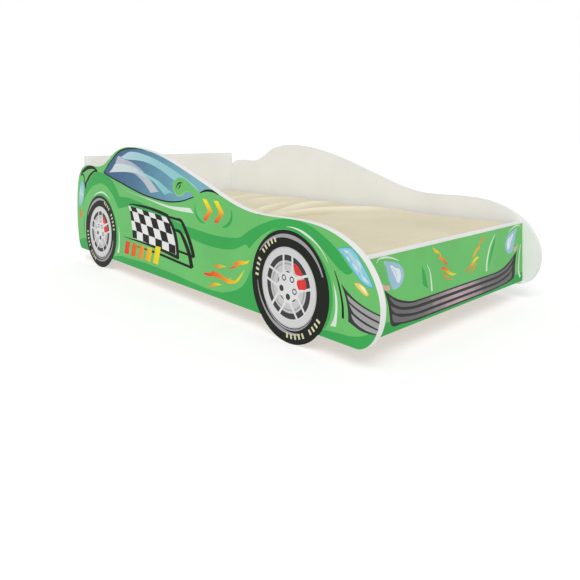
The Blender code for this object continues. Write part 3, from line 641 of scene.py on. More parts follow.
def new_piece(name, points, faces, material, smooth_faces=False):
    """A mesh piece that rides on the bed's frame, with the one material it is given."""
    mesh = bpy.data.meshes.new(name)
    mesh.from_pydata([tuple(point) for point in points], [], faces)
    mesh.validate()
    mesh.materials.append(material)
    for polygon in mesh.polygons:
        polygon.use_smooth = smooth_faces
    piece = bpy.data.objects.new(name, mesh)
    bpy.context.scene.collection.objects.link(piece)
    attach(piece, "bed_frame")
    return piece


def face_triangles(node, axis, outward):
    """The triangles of a CAD board's flat face on one side, as corner points."""
    mesh = NODES[node].data
    mesh.calc_loop_triangles()
    found = []
    for triangle in mesh.loop_triangles:
        if triangle.normal[axis] * outward > 0.99:
            found.append([mesh.vertices[i].co.copy() for i in triangle.vertices])
    limit = max(corner[axis] * outward for corners in found for corner in corners)
    return [corners for corners in found if min(c[axis] * outward for c in corners) > limit - 1e-4]


def board_outline(node, axis, outward):
    """The rim of a board's flat face as an ordered loop of points."""
    def key(point):
        return tuple(round(value, 6) for value in point)

    where, edges = {}, set()
    for corners in face_triangles(node, axis, outward):
        keys = [key(corner) for corner in corners]
        for i in range(3):
            where[keys[i]] = corners[i]
            edges.add((keys[i], keys[(i + 1) % 3]))
    following = {a: b for a, b in edges if (b, a) not in edges}
    start = min(following)
    loop, spot = [], start
    while not loop or spot != start:
        loop.append(where[spot])
        spot = following[spot]
    return loop


def signed_area(outline):
    """Twice the area of a plane outline, positive when it runs anticlockwise."""
    return sum(a.x * b.y - b.x * a.y for a, b in zip(outline, outline[1:] + outline[:1]))


def cut_inks(board, ground, art):
    """Cuts a board's face along every shape and gives each triangle to the topmost shape over it."""
    points, faces = [], []
    for outline in [board] + [outline for ink, outline in art]:
        if signed_area(outline) < 0:
            outline = outline[::-1]
        faces.append(list(range(len(points), len(points) + len(outline))))
        points += outline
    cut = delaunay_2d_cdt(points, [], faces, 1, 1e-6, True)
    spots, triangles, owners = cut[0], cut[2], cut[5]
    by_ink = {}
    for corners, owner in zip(triangles, owners):
        if 0 not in owner:
            continue
        top = max(owner)
        ink = art[top - 1][0] if top else ground
        by_ink.setdefault(ink, []).append(corners)
    return spots, by_ink


def film(name, spots, triangles, place, material):
    """A closed skin of one ink: triangles on top, the same turned over below, and a wall round each patch."""
    used = sorted({i for corners in triangles for i in corners})
    number = {i: n for n, i in enumerate(used)}
    low = [place(spots[i], FILM_LIFT) for i in used]
    high = [place(spots[i], FILM_LIFT + FILM_THICKNESS) for i in used]
    count = len(used)
    upper = [[number[i] + count for i in corners] for corners in triangles]
    lower = [[number[i] for i in reversed(corners)] for corners in triangles]
    edges = set()
    for a, b, c in triangles:
        edges |= {(a, b), (b, c), (c, a)}
    walls = []
    for a, b in sorted(edges):
        if (b, a) not in edges:
            walls.append([number[a], number[b], number[b] + count, number[a] + count])
    faces = upper + lower + walls
    a, b, c = (high[n - count] for n in upper[0])
    towards = place(spots[used[0]], 1) - place(spots[used[0]], 0)
    if (b - a).cross(c - a).dot(towards) < 0:
        faces = [face[::-1] for face in faces]
    return new_piece(name, low + high, faces, material)


def print_board(prefix, board, ground, art, place, inks):
    """Covers one board's face with the films of its print."""
    spots, by_ink = cut_inks(board, ground, art)
    for ink in sorted(by_ink):
        film(f"{prefix}_print_{ink}", spots, by_ink[ink], place, inks[ink])


def print_sides(inks):
    """The same print on the outer face of both side panels; the left one is a mirror image."""
    for name, axis_y, outward in (("right", RIGHT_LOW.y, -1), ("left", LEFT_HIGH.y, 1)):
        loop = board_outline(f"{name}_side_panel", 1, outward)
        board = [Vector((point.x - FRONT_AXLE_X, point.z)) for point in loop]

        def place(spot, lift, axis_y=axis_y, outward=outward):
            return Vector((spot[0] + FRONT_AXLE_X, axis_y + outward * lift, spot[1]))

        print_board(name, board, "green", side_art(), place, inks)


def print_foot(inks):
    """The bonnet print on the footboard's outer face."""
    loop = board_outline("footboard", 0, 1)
    board = [Vector((point.y - RIGHT_LOW.y, point.z)) for point in loop]

    def place(spot, lift):
        return Vector((FOOT_HIGH.x + lift, spot[0] + RIGHT_LOW.y, spot[1]))

    print_board("foot", board, "bare_edge", foot_art(), place, inks)


def band_profile(half):
    """The edge band's cross-section: across the board's thickness, and how far it stands out."""
    points = [(-half, 0.0), (-half, BAND_THICKNESS - BAND_CORNER)]
    for side in (-1, 1):
        for i in range(5):
            angle = math.radians(90 * (i / 4 if side < 0 else 1 - i / 4))
            across = half - BAND_CORNER + BAND_CORNER * math.cos(angle)
            out = BAND_THICKNESS - BAND_CORNER + BAND_CORNER * math.sin(angle)
            points.append((side * across, out))
    return points + [(half, BAND_THICKNESS - BAND_CORNER), (half, 0.0)]


def edge_band(name, path, closed, thin_axis, middle, half, material, outward=None):
    """A strip of edging swept along a board's rim; the path runs in the board's plane."""
    profile = band_profile(half)
    thin = Vector([1.0 if i == thin_axis else 0.0 for i in range(3)])
    count, rows = len(path), []
    centre = sum(path, Vector()) / count
    for i, spot in enumerate(path):
        before = path[i - 1] if closed or i else spot
        after = path[(i + 1) % count] if closed or i + 1 < count else spot
        first = (spot - before).normalized() if (spot - before).length > 1e-7 else None
        second = (after - spot).normalized() if (after - spot).length > 1e-7 else None
        first = second if first is None else first
        second = first if second is None else second
        side = thin.cross(first + second).normalized()
        bend = max(0.5, side.dot(thin.cross(first)))
        rows.append((spot, side / bend))
    turn = sum((outward or rows[i][0] - centre).dot(rows[i][1]) for i in range(count))
    flip = 1 if turn > 0 else -1
    points = []
    for spot, side in rows:
        base = spot.copy()
        base[thin_axis] = middle
        points += [base + thin * across + side * flip * out for across, out in profile]
    faces, wide = [], len(profile)
    for i in range(count if closed else count - 1):
        j = (i + 1) % count
        for k in range(wide):
            m = (k + 1) % wide
            faces.append([i * wide + k, i * wide + m, j * wide + m, j * wide + k])
    if not closed:
        faces.append(list(range(wide)))
        faces.append(list(reversed(range((count - 1) * wide, count * wide))))
    return new_piece(name, points, faces, material)


def band_side_panels(material):
    """White edging all the way round both side panels."""
    for name, outward in (("right", -1), ("left", 1)):
        low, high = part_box(f"{name}_side_panel")
        loop = board_outline(f"{name}_side_panel", 1, outward)
        half = (high.y - low.y) / 2 + FILM_LIFT + FILM_THICKNESS
        edge_band(f"{name}_edge_band", loop, True, 1, (low.y + high.y) / 2, half, material)


def band_end_boards(material):
    """White edging on the top and bottom edges of the two end boards, which meet the sides at their ends."""
    for name in ("headboard", "footboard"):
        low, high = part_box(name)
        middle, half = (low.x + high.x) / 2, (high.x - low.x) / 2
        for edge, z in (("top", high.z), ("bottom", low.z)):
            loop = board_outline(name, 0, 1)
            line = sorted((point for point in loop if abs(point.z - z) < 0.002), key=lambda point: point.y)
            if len(line) > 1:
                path = straight_edge(line, z, low, high)
                outward = Vector((0, 0, 1 if edge == "top" else -1))
                edge_band(f"{name}_{edge}_band", path, False, 0, middle, half, material, outward)


def straight_edge(line, z, low, high):
    """The straight run of a board's edge between its ends."""
    count = 12
    start, end = max(low.y, line[0].y) + 0.0005, min(high.y, line[-1].y) - 0.0005
    return [Vector((line[0].x, start + (end - start) * i / count, z)) for i in range(count + 1)]


# ---------------------------------------------------------------- materials


GLARE = 0.008
BRIGHTNESS = 1.14
SATIN = 0.05


def linear(code):
    """A colour code such as 6EBE6E as linear red, green, blue and alpha."""
    parts = [int(code[i : i + 2], 16) / 255 for i in (0, 2, 4)]
    return [c / 12.92 if c <= 0.04045 else ((c + 0.055) / 1.055) ** 2.4 for c in parts] + [1.0]


def seen_as(code):
    """The base colour that looks like the code in this light, once the satin surface's glare is added."""
    return [max(0.004, (c - GLARE) / BRIGHTNESS) for c in linear(code)[:3]] + [1.0]


class Recipe:
    """One procedural material: a Principled shader and helpers that add nodes in front of it."""

    def __init__(self, name, **sockets):
        self.material = bpy.data.materials.new(name)
        self.material.use_nodes = True
        self.nodes = self.material.node_tree.nodes
        self.links = self.material.node_tree.links
        self.shader = self.nodes["Principled BSDF"]
        for socket, value in sockets.items():
            self.shader.inputs[socket.replace("_", " ")].default_value = value
        self.place = self.add("ShaderNodeTexCoord").outputs["Object"]

    def add(self, kind, sockets=None, **settings):
        """A node with its settings, its sockets either set or linked."""
        made = self.nodes.new(kind)
        for setting, value in settings.items():
            setattr(made, setting, value)
        for socket, value in (sockets or {}).items():
            if isinstance(value, bpy.types.NodeSocket):
                self.links.new(value, made.inputs[socket])
            else:
                made.inputs[socket].default_value = value
        return made

    def stretched(self, x, y, z):
        """The piece's coordinates, scaled along each axis."""
        return self.add("ShaderNodeMapping", {"Vector": self.place, "Scale": (x, y, z)}).outputs["Vector"]

    def noise(self, scale, detail=3.0, roughness=0.5, place=None):
        """Noise between about 0.3 and 0.7."""
        sockets = {"Vector": place or self.place, "Scale": scale, "Detail": detail, "Roughness": roughness}
        return self.add("ShaderNodeTexNoise", sockets).outputs["Fac"]

    def spread(self, value, low, high, from_low=0.3, from_high=0.7):
        """A value moved from one range to another."""
        sockets = {"Value": value, "From Min": from_low, "From Max": from_high, "To Min": low, "To Max": high}
        return self.add("ShaderNodeMapRange", sockets).outputs["Result"]

    def mix(self, share, first, second, blend="MIX"):
        """Two colours mixed by a share that is a number or a socket."""
        made = self.add("ShaderNodeMix", {0: share, 6: first, 7: second}, data_type="RGBA", blend_type=blend)
        return made.outputs[2]

    def ramp(self, value, stops, interpolation="LINEAR"):
        """Colours spread along a value."""
        made = self.add("ShaderNodeValToRGB", {"Fac": value})
        made.color_ramp.interpolation = interpolation
        elements = made.color_ramp.elements
        while len(elements) < len(stops):
            elements.new(0.5)
        for element, (place, colour) in zip(elements, stops):
            element.position = place
            element.color = colour
        return made.outputs["Color"]

    def axis(self, name):
        """One of the piece's coordinates."""
        return self.add("ShaderNodeSeparateXYZ", {"Vector": self.place}).outputs[name]

    def join(self, operation, first, second):
        """Two values put together."""
        return self.add("ShaderNodeMath", {0: first, 1: second}, operation=operation).outputs[0]

    def bump(self, height, distance, strength=1.0):
        """Relief from a height value, the distance in metres."""
        sockets = {"Height": height, "Distance": distance, "Strength": strength}
        self.links.new(self.add("ShaderNodeBump", sockets).outputs["Normal"], self.shader.inputs["Normal"])

    def set(self, socket, value):
        """Links a value or colour to the shader."""
        self.links.new(value, self.shader.inputs[socket])


def mottled(recipe, colour, amount=0.06):
    """A colour that drifts a little darker and lighter, with fine print grain over it."""
    drift = recipe.spread(recipe.noise(7, 4), 1 - amount, 1 + amount)
    grain = recipe.spread(recipe.noise(1400, 1), 1 - amount / 2, 1 + amount / 2)
    level = recipe.join("MULTIPLY", drift, grain)
    channels = {"Red": level, "Green": level, "Blue": level}
    grey = recipe.add("ShaderNodeCombineColor", channels).outputs["Color"]
    return recipe.mix(1.0, colour, grey, "MULTIPLY")


def foil_surface(recipe, low=0.30, high=0.46):
    """The satin surface of laminated board: uneven gloss and a fine pebbled texture."""
    smear = recipe.noise(11, 5, 0.6)
    fine = recipe.noise(900, 2)
    recipe.set("Roughness", recipe.spread(recipe.join("ADD", smear, fine), low, high, 0.7, 1.3))
    recipe.bump(recipe.join("ADD", fine, recipe.noise(260, 2)), 0.00006, 0.5)


def ink(name, code, amount=0.05, gloss=(0.30, 0.46)):
    """One flat ink of the print."""
    recipe = Recipe(f"print_{name}", Specular_IOR_Level=SATIN)
    recipe.set("Base Color", mottled(recipe, seen_as(code), amount))
    foil_surface(recipe, *gloss)
    return recipe.material


def blended_ink(name, axis, start, end, codes):
    """An ink that runs through several colours along one axis of the row frame."""
    recipe = Recipe(f"print_{name}", Specular_IOR_Level=SATIN)
    wander = recipe.spread(recipe.noise(40, 2), -0.04, 0.04)
    share = recipe.join("ADD", recipe.spread(recipe.axis(axis), 0, 1, start, end), wander)
    stops = [(i / (len(codes) - 1), seen_as(code)) for i, code in enumerate(codes)]
    recipe.set("Base Color", mottled(recipe, recipe.ramp(share, stops), 0.04))
    foil_surface(recipe)
    return recipe.material


def make_inks():
    """Every ink of the three prints."""
    flat = {
        "green": "6FBF6F", "dark_green": "42A857", "pale_green": "8CCB80", "highlight": "DAE6D8",
        "black": "2A2A28", "white": "E6E6E6", "bare_edge": "E6E5E1", "lamp": "8ECADA",
        "lamp_line": "4AA8D0", "lamp_pale": "B0D2DC", "lamp_glint": "CFE0E6",
        "amber": "EACF70", "amber_line": "B8A048", "amber_glint": "F2EAD0", "grille": "424242",
        "side_bar": "A2A2A2", "flame_spot": "C88C50", "tyre": "2D2F2B", "tyre_grey": "A3A0A4",
        "tyre_mark": "D6D6AE", "rim_edge": "C2C2C2", "rim": "D2D2D2", "rim_light": "DEDEDE",
        "rim_inside": "C8C8C8", "rim_step": "A8A8A8", "rim_dark": "484848", "rim_slot": "4C4C4C",
        "brake": "DE4340", "foot_lamp": "9FC0D6", "foot_glint": "DCE6EA", "pink": "D6AEA4",
    }
    inks = {name: ink(name, code) for name, code in flat.items()}
    wheel = FRONT_AXLE_X
    low_y = RIGHT_LOW.y
    reflection = ["B6D0D8", "A8CED4", "9CCBCF", "92C9CE", "92C9CE"]
    swoosh = ["CED9DC", "CBD8DA", "C8D9D9", "94C9CC", "8BC7C9"]
    flames = ["E0403A", "E6602E", "E8913C", "F0C02A", "ECE226"]
    bars = ["707070", "707070", "7C7878", "A8989C", "C0A8AE", "A8989C", "7C7878", "707070", "707070"]
    glass_codes = ["47668A", "4E7090", "5C86A0", "6E9FB2", "7CB0BC"]
    inks["glass"] = blended_ink("glass", "X", wheel - 0.98, wheel - 0.38, glass_codes)
    inks["reflection"] = blended_ink("reflection", "X", wheel - 0.86, wheel - 0.42, reflection)
    inks["swoosh"] = blended_ink("swoosh", "X", wheel - 0.93, wheel - 0.58, swoosh)
    inks["lilac_low"] = blended_ink("lilac_low", "X", wheel - 0.76, wheel - 0.60, ["B6B8C6", "BCC4CA"])
    inks["lilac_high"] = blended_ink("lilac_high", "X", wheel - 0.90, wheel - 0.70, ["BBBCC9", "A8B0C3"])
    side_flames = [("low", 0.352, 0.163), ("high", 0.240, 0.143)]
    side_flames += [("middle", 0.33, 0.238), ("small", 0.36, 0.262)]
    for name, start, end in side_flames:
        inks[f"flame_{name}"] = blended_ink(f"flame_{name}", "X", wheel - start, wheel - end, flames)
    inks["badge"] = blended_ink("badge", "Z", 0.307, 0.247, ["F4E62C", "F2C834", "E8913C", "E0503A"])
    inks["bars"] = blended_ink("bars", "X", wheel - 0.835, wheel - 0.585, flames)
    for name, top, bottom, near, far in (
        ("high", 0.220, 0.168, ["F0CC34", "F0B434", "E88C38", "DC6634"],
         ["CC8A40", "E09038", "F0A838", "F0B038"]),
        ("middle", 0.166, 0.138, ["E0663A", "EC8C38", "F0C038", "F0E040"],
         ["F0E040", "F0C038", "EC9838", "D07A3C"]),
        ("low", 0.152, 0.129, ["D88038", "E6983A", "D88A3C"], ["D09A40", "E6983A", "C8823C"]),
    ):
        for side, codes in (("near", near), ("far", far)):
            label = f"foot_flame_{name}_{side}"
            inks[label] = blended_ink(label, "Z", top, bottom, codes)
    inks["foot_bar"] = blended_ink("foot_bar", "Y", low_y + 0.10, low_y + 0.66, bars)
    inks["tail_lamp"] = blended_ink("tail_lamp", "Z", 0.303, 0.218, ["78BEDC", "B5CFD9", "98C0CA"])
    return inks


def white_laminate(name, code, gloss=(0.34, 0.50), painted_end_shade=None):
    """White laminate with faint clouds and fine texture; the board's ends may get a greyer painted shade,
    chosen by how far each face turns along Y.
    """
    recipe = Recipe(name, Specular_IOR_Level=SATIN)
    cloud = recipe.spread(recipe.noise(5, 5), 0.0, 1.0)
    base = seen_as(code)
    warm = [base[0] * 0.985, base[1] * 0.982, base[2] * 0.975, 1.0]
    colour = recipe.mix(cloud, base, warm)
    # Painted shade: faces that turn along Y, which are the board's ends, get the greyer end colour in place
    # of shade from the light.
    if painted_end_shade:
        normal = recipe.place.node.outputs["Normal"]
        across = recipe.add("ShaderNodeSeparateXYZ", {"Vector": normal}).outputs["Y"]
        facing = recipe.add("ShaderNodeMath", {0: across}, operation="ABSOLUTE").outputs[0]
        colour = recipe.mix(facing, colour, seen_as(painted_end_shade))
    recipe.set("Base Color", mottled(recipe, colour, 0.025))
    foil_surface(recipe, *gloss)
    return recipe.material


def pine(name, along, across):
    """Planed pine: long growth rings, pale pores, a few knots, and a tone of its own for each piece."""
    recipe = Recipe(name, Specular_IOR_Level=0.3)
    squeeze = {"X": (0.05, 1, 1), "Y": (1, 0.05, 1)}[along]
    rings_place = recipe.stretched(*squeeze)
    sway = recipe.noise(9, 3, place=rings_place)
    drift = recipe.join("ADD", recipe.axis(across), recipe.spread(sway, -0.02, 0.02))
    turns = recipe.join("MULTIPLY", drift, 560.0)
    rings = recipe.add("ShaderNodeMath", {0: turns}, operation="SINE").outputs[0]
    fibre = recipe.noise(420, 4, 0.6, recipe.stretched(*squeeze))
    light, dark = linear("EED8B0"), linear("D6AE76")
    share = recipe.join("ADD", recipe.spread(rings, 0.0, 0.55, -1, 1), recipe.spread(fibre, -0.25, 0.35))
    wood = recipe.mix(share, light, dark)
    tone_place = recipe.stretched(*{"X": (0.2, 9, 0.2), "Y": (9, 0.2, 0.2)}[along])
    wood = recipe.mix(recipe.spread(recipe.noise(1.3, 1, place=tone_place), 0.0, 0.4), wood, linear("DDBB86"))
    knot_place = recipe.stretched(*{"X": (0.45, 1, 1), "Y": (1, 0.45, 1)}[along])
    cells = recipe.add("ShaderNodeTexVoronoi", {"Vector": knot_place, "Scale": 9.0, "Randomness": 1.0})
    knot = recipe.spread(cells.outputs["Distance"], 0.85, 0.0, 0.035, 0.085)
    recipe.set("Base Color", recipe.mix(knot, wood, linear("7A4A24")))
    recipe.set("Roughness", recipe.spread(fibre, 0.55, 0.75))
    recipe.bump(recipe.join("ADD", fibre, recipe.spread(rings, 0, 0.3, -1, 1)), 0.0002, 0.6)
    return recipe.material


def beech():
    """Bare turned beech: short flecks along the dowel."""
    recipe = Recipe("beech", Specular_IOR_Level=0.3)
    flecks = recipe.noise(700, 3, 0.6, recipe.stretched(0.15, 1, 1))
    recipe.set("Base Color", recipe.mix(recipe.spread(flecks, 0, 1), linear("D9B184"), linear("A97847")))
    recipe.set("Roughness", recipe.spread(flecks, 0.5, 0.7))
    recipe.bump(flecks, 0.0001, 0.5)
    return recipe.material


def metal(name, code, scale, rough_low, rough_high, relief):
    """Plated or cast metal: speckled tone, uneven gloss and a fine relief."""
    recipe = Recipe(name, Metallic=1.0)
    speckle = recipe.noise(scale, 4, 0.6)
    smear = recipe.noise(60, 3)
    base = linear(code)
    shade = [c * 0.78 for c in base[:3]] + [1.0]
    recipe.set("Base Color", recipe.mix(recipe.spread(smear, 0, 1), base, shade))
    wear = recipe.join("ADD", speckle, smear)
    recipe.set("Roughness", recipe.spread(wear, rough_low, rough_high, 0.7, 1.3))
    recipe.bump(speckle, relief, 0.6)
    return recipe.material


def moulded_plastic():
    """White moulded caps with a spark-eroded surface."""
    recipe = Recipe("cap_plastic", Specular_IOR_Level=0.5)
    spark = recipe.noise(1600, 2)
    recipe.set("Base Color", mottled(recipe, linear("E4E4E0"), 0.02))
    recipe.set("Roughness", recipe.spread(spark, 0.42, 0.58))
    recipe.bump(spark, 0.00008, 0.5)
    return recipe.material


def threads(recipe, pitch):
    """Over-and-under threads: two sets of ridges that take turns on top."""
    wave = 2 * math.pi / pitch
    x = recipe.join("MULTIPLY", recipe.axis("X"), wave)
    y = recipe.join("MULTIPLY", recipe.axis("Y"), wave)
    z = recipe.join("MULTIPLY", recipe.axis("Z"), wave)
    across = recipe.add("ShaderNodeMath", {0: recipe.join("ADD", x, z)}, operation="SINE").outputs[0]
    along = recipe.add("ShaderNodeMath", {0: recipe.join("ADD", y, z)}, operation="SINE").outputs[0]
    return recipe.join("MULTIPLY", across, along)


def woven_tape():
    """Cotton tape under the slats."""
    recipe = Recipe("tape_weave", Sheen_Weight=0.3, Specular_IOR_Level=0.2)
    weave = threads(recipe, 0.0016)
    share = recipe.spread(weave, 0, 1, -1, 1)
    recipe.set("Base Color", recipe.mix(share, linear("C9C4B6"), linear("E4E0D4")))
    recipe.set("Roughness", recipe.spread(weave, 0.75, 0.9, -1, 1))
    recipe.bump(weave, 0.0003, 0.7)
    return recipe.material


def cotton_cover(name, light, deep):
    """Cream cotton cover: fine weave, slubs, slow tone changes, a painted highlight on the folds' ridges,
    painted shade in the hollow beside them, and a soft sheen.
    """
    recipe = Recipe(name, Sheen_Weight=0.25, Sheen_Roughness=0.5, Specular_IOR_Level=0.2)
    weave = threads(recipe, 0.0014)
    slub = recipe.noise(120, 3, 0.6, recipe.stretched(1, 0.12, 1))
    cloud = recipe.noise(4, 4)
    tone = recipe.join("ADD", recipe.spread(cloud, 0.0, 0.7), recipe.spread(slub, -0.15, 0.25))
    share = recipe.join("ADD", tone, recipe.spread(weave, -0.12, 0.12, -1, 1))
    cloth = recipe.mix(share, linear(light), linear(deep))
    # Painted light: a paler colour is a painted highlight on the folds' ridges, and a tan is painted shade in
    # the hollow, both mixed in by the value stored on the pad.
    painted_fold_highlight, painted_hollow_shade = linear("EFE6CC"), linear("BFA468")
    fold_light = recipe.add("ShaderNodeAttribute", attribute_name="painted_fold_light").outputs["Fac"]
    cloth = recipe.mix(recipe.spread(fold_light, 0, 0.75, 0.0, 1.0), cloth, painted_fold_highlight)
    cloth = recipe.mix(recipe.spread(fold_light, 0, 0.6, 0.0, -1.5), cloth, painted_hollow_shade)
    recipe.set("Base Color", cloth)
    recipe.set("Roughness", recipe.spread(slub, 0.78, 0.92))
    recipe.bump(recipe.join("ADD", weave, recipe.join("MULTIPLY", slub, 1.5)), 0.00025, 0.6)
    return recipe.material


def dress_nodes():
    """Gives every CAD node that stays in view its own material."""
    board = white_laminate("white_board", "FAFAF8")
    made = {
        "side_panel": board,
        # The headboard's faces get a slightly lighter white than the other boards, painted light against the
        # shade they stand in; its ends get a greyer painted shade.
        "headboard": white_laminate("headboard_white", "FEFEFD", painted_end_shade="E2E1DD"),
        "footboard": board,
        "cam_bolt": metal("plated_steel", "BDBDB8", 900, 0.28, 0.42, 0.00004),
        "cam_cap": moulded_plastic(),
        "cam": metal("cast_zinc", "A9ABAE", 500, 0.40, 0.60, 0.0001),
        "dowel": beech(),
        "bearer_screw": metal("screw_steel", "C6C2B0", 800, 0.30, 0.45, 0.00004),
        "bearer": pine("pine_bearer", "X", "Z"),
        "slat_tape": woven_tape(),
        "slat": pine("pine_slat", "Y", "X"),
    }
    order = ["cam_bolt", "cam_cap", "cam", "bearer_screw", "slat_tape", "slat", "side_panel"]
    order += ["headboard", "footboard", "bearer", "dowel"]
    for name, node in NODES.items():
        kind = next(k for k in [*order, "mattress"] if name.startswith(k) or name.endswith(k))
        if kind == "mattress":
            continue
        for material_slot in node.material_slots:
            material_slot.material = made[kind]


# ---------------------------------------------------------------- mattress


MATTRESS_INSET = 0.003
MATTRESS_VOXEL = 0.010
MATTRESS_SWELL = 0.007
MATTRESS_SIDE_SPARE = 0.0075
SIM_FRAMES = 20
CREASES = (
    # centre line from the bed's middle, half-width at its start and end, height
    (((0.118, -0.14), (0.112, -0.03), (0.132, 0.10), (0.198, 0.21), (0.300, 0.345)), 0.016, 0.052, 0.0085),
    (((0.100, -0.13), (0.062, -0.02), (0.022, 0.08), (-0.015, 0.17), (-0.030, 0.345)), 0.014, 0.040, 0.0075),
    (((0.020, -0.12), (-0.030, -0.02), (-0.075, 0.08), (-0.100, 0.17)), 0.014, 0.024, 0.0065),
    (((-0.230, 0.08), (-0.265, 0.20), (-0.160, 0.345)), 0.030, 0.040, 0.0040),
    (((-0.350, 0.04), (-0.390, 0.16), (-0.410, 0.32)), 0.026, 0.040, 0.0040),
)
HOLLOW = ((0.160, -0.07), (0.158, 0.00), (0.180, 0.055))
HOLLOW_WIDTH = 0.026
HOLLOW_DEPTH = 0.004
# How strongly the hollow is darkened with painted shade.
HOLLOW_PAINTED_SHADE = 0.75
VALLEY_DEPTH = 0.30
VALLEY_PLACE = 1.9
VALLEY_WIDTH = 0.7
COVER_DEPTH = 0.02
COVER_FADE = 0.012
COVER_LIFT = 0.0030
# The crease lift that gives the full painted highlight on a ridge.
WAVE_HEIGHT = 0.0008
FULL_FOLD = 0.0085
END_SPARE = 0.0015


def mesh_from(piece):
    """The piece's mesh with its modifiers applied."""
    graph = bpy.context.evaluated_depsgraph_get()
    return bpy.data.meshes.new_from_object(piece.evaluated_get(graph))


def apply_modifier(piece, name, kind, **settings):
    """Adds a modifier and bakes its result into the mesh."""
    modifier = piece.modifiers.new(name, kind)
    for setting, value in settings.items():
        setattr(modifier, setting, value)
    piece.data = mesh_from(piece)
    piece.modifiers.clear()


def start_mattress():
    """A slightly smaller copy of the CAD mattress, cut into even small faces."""
    low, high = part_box("mattress")
    centre = (low + high) / 2
    mesh = NODES["mattress"].data.copy()
    shrink = [1 - 2 * MATTRESS_INSET / (high[i] - low[i]) for i in range(3)]
    for vertex in mesh.vertices:
        vertex.co = Vector(centre[i] + (vertex.co[i] - centre[i]) * shrink[i] for i in range(3))
    piece = bpy.data.objects.new("mattress_pad", mesh)
    bpy.context.scene.collection.objects.link(piece)
    apply_modifier(piece, "voxels", "REMESH", mode="VOXEL", voxel_size=MATTRESS_VOXEL)
    return piece


def inflate(piece):
    """Cloth simulation with inner pressure; each point's travel is capped."""
    scene = bpy.context.scene
    rest = [vertex.co.copy() for vertex in piece.data.vertices]
    cloth = piece.modifiers.new("stuffing", "CLOTH")
    cloth.settings.quality = 4
    cloth.settings.mass = 0.4
    cloth.settings.use_pressure = True
    cloth.settings.uniform_pressure_force = 4.0
    cloth.settings.effector_weights.gravity = 0.0
    cloth.point_cache.frame_start = 1
    cloth.point_cache.frame_end = SIM_FRAMES
    for number in range(1, SIM_FRAMES + 1):
        scene.frame_set(number)
    mesh = mesh_from(piece)
    for vertex, start in zip(mesh.vertices, rest):
        travel = vertex.co - start
        if travel.length > MATTRESS_SWELL:
            travel *= MATTRESS_SWELL / travel.length
        vertex.co = start + travel
    piece.modifiers.clear()
    piece.data = mesh
    scene.frame_set(1)


def nearest(line, spot):
    """How far a spot is from a line, and the share of the line's length where it is nearest."""
    best, place = 1e9, 0.0
    for i, (a, b) in enumerate(zip(line, line[1:])):
        along = b - a
        share = min(1.0, max(0.0, (spot - a).dot(along) / along.length_squared))
        away = (spot - a - along * share).length
        if away < best:
            best, place = away, (i + share) / (len(line) - 1)
    return best, place


def crease_height(creases, spot):
    """How far the creases lift the cover at a spot: rounded ridges with a shallow valley beside each."""
    height = 0.0
    for line, narrow, wide, rise in creases:
        away, share = nearest(line, spot)
        width = narrow + (wide - narrow) * share
        if away > 4 * width:
            continue
        valley = VALLEY_DEPTH * math.exp(-(((away / width - VALLEY_PLACE) / VALLEY_WIDTH) ** 2))
        ridge = math.exp(-((away / width) ** 2)) - valley
        height += rise * min(1.0, 3.2 * share) * min(1.0, 0.35 + 3.0 * (1 - share)) * ridge
    return height


def shape_cover(piece):
    """Creases that fan out from one place, a hollow beside them, soft waves, and limits that hold the pad.
    Each top point also stores how much painted highlight or painted shade the cover gets there.
    """
    low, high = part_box("mattress")
    floor = low.z
    side_low, side_high = RIGHT_HIGH.y, LEFT_LOW.y
    middle_x = (low.x + high.x) / 2
    reach_x = (high.x - low.x) / 2 + END_SPARE
    creases = [(smooth(line, closed=False, steps=4), *sizes) for line, *sizes in CREASES]
    hollow = smooth(HOLLOW, closed=False, steps=4)
    tone = piece.data.attributes.new("painted_fold_light", "FLOAT", "POINT").data
    for vertex in piece.data.vertices:
        place = vertex.co
        if place.z > high.z - COVER_DEPTH:
            spot = Vector((place.x, place.y))
            share = min(1.0, (place.z - high.z + COVER_DEPTH) / COVER_FADE)
            lift = crease_height(creases, spot)
            dip = math.exp(-((nearest(hollow, spot)[0] / HOLLOW_WIDTH) ** 2))
            wave = WAVE_HEIGHT * math.sin(9 * place.x + 2 * place.y) * math.sin(13 * place.y - 3 * place.x)
            place.z += share * (lift - HOLLOW_DEPTH * dip + wave + COVER_LIFT)
            # Painted light for the cover: ridges get a painted highlight, the hollow a painted shade.
            tone[vertex.index].value = lift / FULL_FOLD - dip * HOLLOW_PAINTED_SHADE
        place.y = min(side_high - MATTRESS_SIDE_SPARE / 3, max(side_low + MATTRESS_SIDE_SPARE / 3, place.y))
        place.x = min(middle_x + reach_x, max(middle_x - reach_x, place.x))
        place.z = max(floor, place.z)


def seam_path(tree, centre, size, z, count):
    """Points where lines from the middle leave the pad at one height."""
    path = []
    for i in range(count):
        angle = 2 * math.pi * i / count
        direction = Vector((math.cos(angle) * size.x, math.sin(angle) * size.y, 0))
        corner = max(abs(math.cos(angle)), abs(math.sin(angle)))
        reach = direction / corner / 2
        start = Vector((centre.x, centre.y, z)) + reach * 1.2
        hit = tree.ray_cast(start, -reach.normalized(), reach.length)
        if hit[0] is not None:
            path.append(hit[0])
    return path


def tube(name, path, radius, material, sides=8):
    """A closed round cord along a loop of points."""
    points, faces, count = [], [], len(path)
    for i, spot in enumerate(path):
        ahead = (path[(i + 1) % count] - path[i - 1]).normalized()
        side = ahead.cross(Vector((0, 0, 1))).normalized()
        up = side.cross(ahead)
        for k in range(sides):
            angle = 2 * math.pi * k / sides
            points.append(spot + side * radius * math.cos(angle) + up * radius * math.sin(angle))
    for i in range(count):
        j = (i + 1) % count
        for k in range(sides):
            m = (k + 1) % sides
            faces.append([i * sides + k, i * sides + m, j * sides + m, j * sides + k])
    return new_piece(name, points, faces, material, smooth_faces=True)


